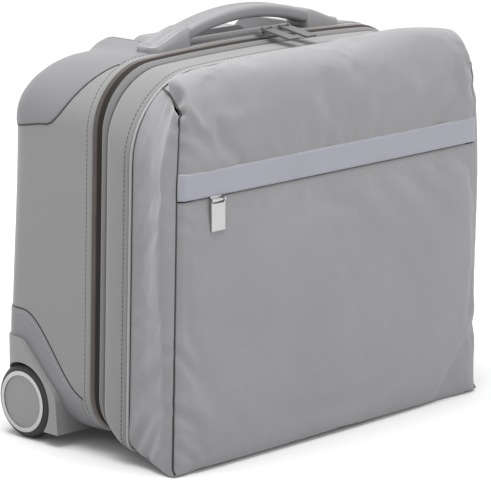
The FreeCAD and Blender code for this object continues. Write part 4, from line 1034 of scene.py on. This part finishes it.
def make_front():
    """The pocket's front: the lower panel, the upper panel that turns over the top, and the band between."""
    base = base_rows() + [face_row(z * MM, FRONT_Y + y * MM) for z, y in
                          ((FLOOR_GAP / MM, 6.5), (0.9, 3.2), (3.0, 1.0))]
    lower_top = BAND_LOW.z - 1.1 * MM
    face = [face_row(z) for z in np.linspace(7 * MM, lower_top - 3 * MM, 60)]
    turned, tucked = face_row(lower_top), face_row(lower_top - 2 * MM)
    turned[:, 1] += 0.8 * MM
    tucked[:, 1] += 2.6 * MM
    lower = np.stack(base + face + [turned, tucked])
    lower = billow(creased(lower, grid_normals(lower), LOWER_FOLDS), 0.35, 0.006)
    lower[..., 2] = np.maximum(lower[..., 2], FLOOR_GAP)
    panel = refined(thicken(grid("front_panel_lower_cover", lower, "pocket_fabric"), CLOTH_THICK))
    place(panel, "lid", "pocket_fabric", "front_panel_lower", "pocket_base")

    face = [face_row(z) for z in np.linspace(BAND_LOW.z + 4 * MM, CORNER_HEIGHT, UPPER_FACE_ROWS)]
    upper = np.stack(face + top_rows())
    upper = billow(creased(upper, grid_normals(upper), UPPER_FOLDS), 0.3, 0.008)
    panel = refined(thicken(grid("front_panel_upper_cover", upper, "pocket_fabric"), CLOTH_THICK))
    place(panel, "lid", "pocket_fabric", "front_panel_upper")

    heights = lip_spacing(BAND_HIGH.z - BAND_LOW.z + 1 * MM, 12, 0.9 * MM) + BAND_LOW.z - 1 * MM
    band = np.stack([face_row(z) for z in heights])
    height = np.full(band.shape[:2], 1.6 * MM)
    height[0] = height[-1] = 0.1 * MM
    height[1] = height[-2] = 1.25 * MM
    strip = grid("pocket_band_cover", band + grid_normals(band) * height[..., None], "band_panel")
    place(refined(thicken(strip, 0.9 * MM)), "lid", "coated_panel", "pocket_band")
    chain = face_row(BAND_LOW.z - 1.0 * MM)[6:-6] + (0, 1.2 * MM, 0)
    forward = np.tile([0.0, -1.0, 0.0], (len(chain), 1))
    teeth = bar_parts(chain, forward, TOOTH_PITCH, TOOTH_PITCH * 0.66, 3.0 * MM, 1.4 * MM)
    gathered("pocket_zip_coil", [teeth], "zip_coil", "lid", "zip_coil", "pocket_zip_chain")
    return lower, upper


def make_gusset(name, side, lower, upper):
    """One side of the pocket, between the ring's seam and the front's side seam."""
    column = -1 if side > 0 else 0
    high_rows, deep_cols = 64, 26
    upright = np.concatenate([lower[BASE_ROWS + 2:-2, column], upper[:UPPER_FACE_ROWS, column]])
    over = upper[UPPER_FACE_ROWS - 1:, column]
    front, top = resample(upright, high_rows), resample(over, deep_cols)
    loop = seam_loop(FINE)
    foot_z = lower[0, column][2]
    part = loop[(loop[:, 0] * side > 120 * MM) & (loop[:, 2] > foot_z) & (loop[:, 2] < top[-1][2] - 1 * MM)]
    part = part[np.argsort(np.arctan2(part[:, 2] - 180 * MM, part[:, 0] * side - 60 * MM))]
    back_edge = resample(np.concatenate([part, [top[-1]]]), high_rows)
    bottom = resample(lower[:BASE_ROWS + 3, column], deep_cols)
    across, high = np.linspace(0, 1, deep_cols), np.linspace(0, 1, high_rows)
    s, t = across[None, :, None], high[:, None, None]
    points = (back_edge[:, None] * (1 - s) + front[:, None] * s + bottom[None] * (1 - t) + top[::-1][None] * t
              - ((1 - s) * (1 - t) * back_edge[0] + s * (1 - t) * front[0]
                 + (1 - s) * t * back_edge[-1] + s * t * front[-1]))
    swell = np.sin(math.pi * across ** 3.8)[None] * (7.0 + 7.0 * smooth((high - 0.25) / 0.5))[:, None]
    hollow = 2.5 * np.sin(math.pi * np.clip(across / 0.55, 0, 1)) ** 2
    shape = (swell - hollow[None]) * (np.sin(math.pi * (0.04 + 0.92 * high)) ** 0.5)[:, None] * MM
    out = np.array([side, 0.0, 0.0])
    points = points + out * shape[..., None]
    points[:, 0], points[:, -1] = back_edge, front
    points = creased(points, np.broadcast_to(out, points.shape), GUSSET_FOLDS, side)
    points = billow(points[:, ::side], 0.4, 0.010)[:, ::side]
    points[..., 2] = np.maximum(points[..., 2], FLOOR_GAP)
    piece = grid("pocket_gusset_cover_" + name, points, "pocket_fabric", flip=side > 0)
    place(refined(thicken(piece, CLOTH_THICK)), "lid", "pocket_fabric", "pocket_gusset_" + name)
    # painted shade: a dark tube in the groove of the side seam stands for the shadow there
    groove = resample(np.concatenate([front, over[1:]]), 160)
    seam = tube_parts(groove + out * 0.3 * MM + (0, 0.9 * MM, 0), 1.0 * MM, np.tile(out, (160, 1)))
    gathered("pocket_side_seam_painted_shade_" + name, [seam], "seam_shadow", "lid", "pocket_fabric")


# ---- carry handle

GRIP_THICK = 13 * MM
HANDLE_Y = (GRIP_LOW.y + GRIP_HIGH.y) / 2
HANDLE_HALF = (GRIP_HIGH.y - GRIP_LOW.y) / 2


def handle_line(x):
    """Height of the middle of the carry handle at a place across."""
    end = SHOE_HIGH.z - GRIP_THICK / 2 - 1.0 * MM
    crest = GRIP_HIGH.z - GRIP_THICK / 2
    return crest - (crest - end) * (np.abs(x) / GRIP_HIGH.x) ** 2


def handle_section(half, thick, groove):
    """Points across a grip, a rounded bar with a wide shallow channel on top: Y and height."""
    a = np.linspace(0, 2 * math.pi, 64, endpoint=False)
    across = np.sign(np.cos(a)) * np.abs(np.cos(a)) ** 0.5 * half
    height = np.sign(np.sin(a)) * np.abs(np.sin(a)) ** 0.5 * thick / 2
    channel = groove * smooth((0.46 - np.abs(across) / half) / 0.10) * (np.sin(a) > 0)
    return across, height - channel


def make_carry_handle():
    """The moulded arch, with a channel along its top, between two rounded end shoes."""
    x = np.linspace(-GRIP_HIGH.x, GRIP_HIGH.x, 49)
    x, slope = (np.pad(a, 1, mode="edge") for a in (x, np.gradient(handle_line(x), x)))
    rows = []
    for k, (place_x, tilt) in enumerate(zip(x, slope)):
        shrink = 0.86 if k in (0, len(x) - 1) else 1.0
        across, height = handle_section(HANDLE_HALF * shrink, GRIP_THICK * shrink, 1.5 * MM)
        lean = math.atan(tilt)
        rows.append(np.stack([place_x - height * math.sin(lean), HANDLE_Y + across,
                              handle_line(place_x) + height * math.cos(lean)], axis=1))
    points = np.array(rows)
    verts, faces = points.reshape(-1, 3), ring_faces(*points.shape[:2])
    count = points.shape[1]
    faces += [tuple(range(count))[::-1], tuple(range(len(verts) - count, len(verts)))]
    grip = link("carry_grip_cover", verts, [f[::-1] for f in faces], "handle_plastic")
    place(grip, "root", "handle_plastic", "carry_handle_grip")


def top_height(x):
    """Height of the case's top at a place across, at its guard's face."""
    return SHELL_TOP + GUARD_PROUD - TOP_CROWN * (np.abs(x) / CROWN_REACH) ** 2.2


def make_shoe(name, side):
    """An end shoe of the carry handle: rounded in plan, falling to its tip, with a U-shaped groove."""
    start, tip = GRIP_HIGH.x - 6 * MM, SHOE_HIGH.x
    half_wide = HANDLE_HALF + 1.2 * MM
    nose = half_wide * 0.9  # length of the rounded tip
    x = np.concatenate([[start], np.linspace(start, tip - nose, 16)[:-1],
                        tip - nose * (1 - np.sin(np.linspace(0, math.pi / 2, 14)))])
    v = np.sin(np.linspace(-math.pi / 2, math.pi / 2, 35))
    rows = []
    for k, place_x in enumerate(x):
        ahead = (place_x - (tip - nose)) / nose
        wide = half_wide * math.sqrt(max(1 - max(ahead, 0) ** 2, 0.0))
        run = (place_x - start) / (tip - start)
        crest = SHOE_HIGH.z + 1.5 * MM - (SHOE_HIGH.z - top_height(tip) - 4.0 * MM) * smooth(run) ** 0.9
        foot = top_height(place_x) - 1.5 * MM
        edge = (1 - np.abs(v) ** 9) ** 0.5 * (1 if ahead <= 0 else math.sqrt(max(1 - ahead ** 10, 0.0)))
        from_rim = np.minimum((1 - np.abs(v)) * wide, (tip - place_x) * 0.9)
        groove = 1.6 * MM * np.exp(-((from_rim - 7.5 * MM) / (1.3 * MM)) ** 2) * smooth((run - 0.05) / 0.2)
        z = foot + (crest - foot - groove) * edge * (k > 0)
        rows.append(np.stack([np.full(len(v), side * place_x), HANDLE_Y + v * wide, z], axis=1))
    shoe = grid("carry_shoe_cover_" + name, rows, "handle_plastic", flip=side > 0)
    place(shoe, "root", "handle_plastic", "carry_handle_shoe_" + name)


# ---- inside

def make_lining():
    """The padded divider in front of the trolley tubes: a sheet quilted in broad diamonds."""
    inset = 3.6 * MM
    loop = outline(inset, SHELL_TOP - 10 * MM, SHELL_BOTTOM + inset, ROUND_HIGH - inset, ROUND_LOW - inset)[0]
    middle = np.array([0.0, (LINING_LOW.z + LINING_HIGH.z) / 2])
    rows = []
    for share in np.linspace(0, 0.995, 40):
        flat = middle + (loop - middle) * (1 - share * 0.96)
        rows.append(at_depth(flat, LINING_LOW.y - quilt(flat) * smooth(share * 8)))
    lining = grid("compartment_lining_cover", rows, "lining_fabric", closed=True, cap=True)
    place(thicken(lining, 2.2 * MM), "root", "lining_fabric", "compartment_lining")


def make_back_board():
    """The stiffening board behind the trolley tubes, with corners that follow the shell's rounded back."""
    inset = 27 * MM
    loop = outline(inset, BAY_LOW.z - 8 * MM, SHELL_BOTTOM + inset, ROUND_HIGH, ROUND_LOW)[0]
    middle = np.array([0.0, loop[:, 1].mean()])
    rows = [at_depth(loop + (middle - loop) * share, BOARD_Y) for share in np.linspace(0, 0.96, 12)]
    board = grid("back_board_cover", rows, "stiff_board", closed=True, cap=True)
    place(thicken(board, 2.0 * MM), "root", "stiff_board", "back_board")


def make_sleeve():
    """The laptop sleeve: a padded pouch, open at its top, with bound edges and a strap over it."""
    wall = 6 * MM
    round_plan = 14 * MM

    def plan(inset, z, puff=0.0):
        """A level loop round the pouch, anticlockwise from above."""
        half, front, rear = SLEEVE_HIGH.x - inset, SLEEVE_LOW.y + inset, SLEEVE_HIGH.y - inset
        r = round_plan - inset * 0.8
        pts = np.concatenate([
            straight((-half + r, front), (half - r, front), 34), arc((half - r, front + r), r, -90, 0, 8),
            straight((half, front + r), (half, rear - r), 6), arc((half - r, rear - r), r, 0, 90, 8),
            straight((half - r, rear), (-half + r, rear), 34), arc((-half + r, rear - r), r, 90, 180, 8),
            straight((-half, rear - r), (-half, front + r), 6), arc((-half + r, front + r), r, 180, 270, 8)])
        belly = puff * (1 - (np.abs(pts[:, 0]) / half) ** 4) * (pts[:, 1] < (front + rear) / 2)
        return np.stack([pts[:, 0], pts[:, 1] - belly, np.full(len(pts), z)], axis=1)

    low, high = SLEEVE_LOW.z, SLEEVE_HIGH.z
    rows = [plan(10 * MM, low), plan(3 * MM, low + 0.5 * MM), plan(0.6 * MM, low + 3 * MM)]
    rows += [plan(0, z, 3.0 * MM * math.sin(math.pi * (z - low) / (high - low))) for z in
             np.linspace(low + 8 * MM, high - 6 * MM, 26)]
    rows += [plan(0.8 * MM, high - 2 * MM), plan(wall / 2, high), plan(wall - 0.8 * MM, high - 2 * MM)]
    rows += [plan(wall, z) for z in np.linspace(high - 8 * MM, low + wall, 10)]
    sleeve = grid("laptop_sleeve_cover", rows, "lining_fabric", closed=True, cap=True)
    place(sleeve, "root", "lining_fabric", "laptop_sleeve")
    binding = plan(wall / 2, high + 0.4 * MM)
    closed = np.concatenate([binding, binding[:1]])
    up = np.tile([0.0, 0.0, 1.0], (len(closed), 1))
    gathered("laptop_sleeve_binding", [tube_parts(closed, wall * 0.56, up, flat=0.8)], "zip_tape", "root",
             "lining_fabric")
    half = (STRAP_HIGH.x - STRAP_LOW.x) / 2
    front, rear, foot, top = STRAP_LOW.y + 1 * MM, STRAP_HIGH.y - 1 * MM, STRAP_LOW.z, STRAP_HIGH.z - 1 * MM
    bend = 4 * MM
    spine = [(0, rear, foot), (0, rear, top - bend), (0, rear - bend, top), (0, front + bend, top),
             (0, front, top - bend), (0, front, foot)]
    across = lip_spacing(2 * half, 12, 1 * MM) - half
    points = resample(spine, 60)[:, None] + across[None, :, None] * np.array([1.0, 0.0, 0.0])
    strap = grid("sleeve_strap_cover", points, "zip_tape")
    place(thicken(strap, 1.6 * MM), "root", "lining_fabric", "sleeve_strap")


# ---- release button's spring

SPRING_WIRE = 0.35 * MM  # radius of the wire
SPRING_PITCH = 1.6 * MM
SPRING_STEPS = 24  # points in each turn


def make_button_spring():
    """The coil spring under the release button, on the handle grip's body, with a mesh of its own."""
    middle = (SPRING_LOW + SPRING_HIGH) / 2
    radius = (SPRING_HIGH.x - SPRING_LOW.x) / 2 - SPRING_WIRE
    bottom, top = SPRING_LOW.z + SPRING_WIRE, SPRING_HIGH.z - SPRING_WIRE
    turns = (top - bottom) / SPRING_PITCH
    angles = np.linspace(0, 2 * math.pi * turns, round(turns * SPRING_STEPS))
    out = np.stack([np.cos(angles), np.sin(angles), 0 * angles], axis=-1)
    path = np.array([middle.x, middle.y, bottom]) + radius * out
    path[:, 2] += SPRING_PITCH * angles / (2 * math.pi)
    coil = gathered("button_spring_coil", [tube_parts(path, SPRING_WIRE, out)], "steel", "handle_grip",
                    "steel", "button_spring")
    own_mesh(coil)


# ---- stage, lights and camera

CAMERA_AZIMUTH = math.radians(-46.32)
CAMERA_ELEVATION = math.radians(12.59)
CAMERA_DISTANCE = 2.9655
CAMERA_ABOUT = Vector((0.0, -0.0604, 0.190))
CAMERA_AIM = Vector((-0.0462, -0.0413, 0.1724))
CAMERA_LENS = 227.9
SENSOR = 36.0


def make_camera():
    """The camera, at the reference viewing angle and distance."""
    level = math.cos(CAMERA_ELEVATION)
    away = Vector((math.sin(CAMERA_AZIMUTH) * level, -math.cos(CAMERA_AZIMUTH) * level,
                   math.sin(CAMERA_ELEVATION)))
    camera = bpy.data.objects.new("camera", bpy.data.cameras.new("camera"))
    bpy.context.scene.collection.objects.link(camera)
    camera.location = CAMERA_ABOUT + away * CAMERA_DISTANCE
    camera.rotation_euler = (CAMERA_AIM - camera.location).to_track_quat("-Z", "Y").to_euler()
    camera.data.lens = CAMERA_LENS
    camera.data.sensor_fit = "VERTICAL"
    camera.data.sensor_height = SENSOR
    camera.data.clip_end = 50.0
    bpy.context.scene.camera = camera


def area_light(name, where, size, power):
    """A soft rectangular light aimed at the middle of the case."""
    lamp = bpy.data.lights.new(name, "AREA")
    lamp.shape = "RECTANGLE"
    lamp.size, lamp.size_y = size
    lamp.energy = power
    light = bpy.data.objects.new(name, lamp)
    bpy.context.scene.collection.objects.link(light)
    light.location = where
    light.rotation_euler = (Vector((0, 0, 0.2)) - Vector(where)).to_track_quat("-Z", "Y").to_euler()


def make_stage():
    """A pale floor with a painted shadow that darkens it near the case, an even pale surround and soft studio
    lights.
    """
    half = 12.0
    look = Look("floor", grey(0.7), 0.9)
    MATERIALS["floor"] = look.material
    # painted shadow: the floor's colour is darker close to the case and paler further off
    away = look.node("VectorMath", {0: look.place()}, "LENGTH").outputs["Value"]
    painted_shadow_fade = look.node("MapRange", {"From Min": 0.35, "From Max": 1.6, "Value": away})
    look.colour(painted_shadow_fade.outputs["Result"], grey(0.76), 0.14, 0.0, 1.0)
    corners = [(-half, -half, 0), (half, -half, 0), (half, half, 0), (-half, half, 0)]
    link("floor", corners, [(0, 1, 2, 3)], "floor")
    world = bpy.data.worlds.new("surround")
    world.use_nodes = True
    world.node_tree.nodes["Background"].inputs["Color"].default_value = (1.0, 1.0, 1.0, 1.0)
    world.node_tree.nodes["Background"].inputs["Strength"].default_value = 1.0
    bpy.context.scene.world = world
    bpy.context.scene.view_settings.view_transform = "Standard"
    area_light("top_softbox", (-0.3, -0.1, 2.0), (1.5, 1.5), 52.0)
    area_light("front_softbox", (1.2, -2.6, 1.2), (1.6, 1.4), 20.0)


# ---- the whole case

def main():
    sides = (("left", -1), ("right", 1))
    finish_cad_nodes()
    make_shell()
    make_top_guard()
    for name, side in sides:
        make_bottom_guard(name, side)
    make_zip()
    make_lid_ring()
    make_hinge_strip()
    lower, upper = make_front()
    for name, side in sides:
        make_gusset(name, side, lower, upper)
    make_carry_handle()
    for name, side in sides:
        make_shoe(name, side)
    make_button_spring()
    make_lining()
    make_back_board()
    make_lid_lining()
    make_sleeve()
    make_stage()
    make_camera()


main()
bpy.context.view_layer.update()
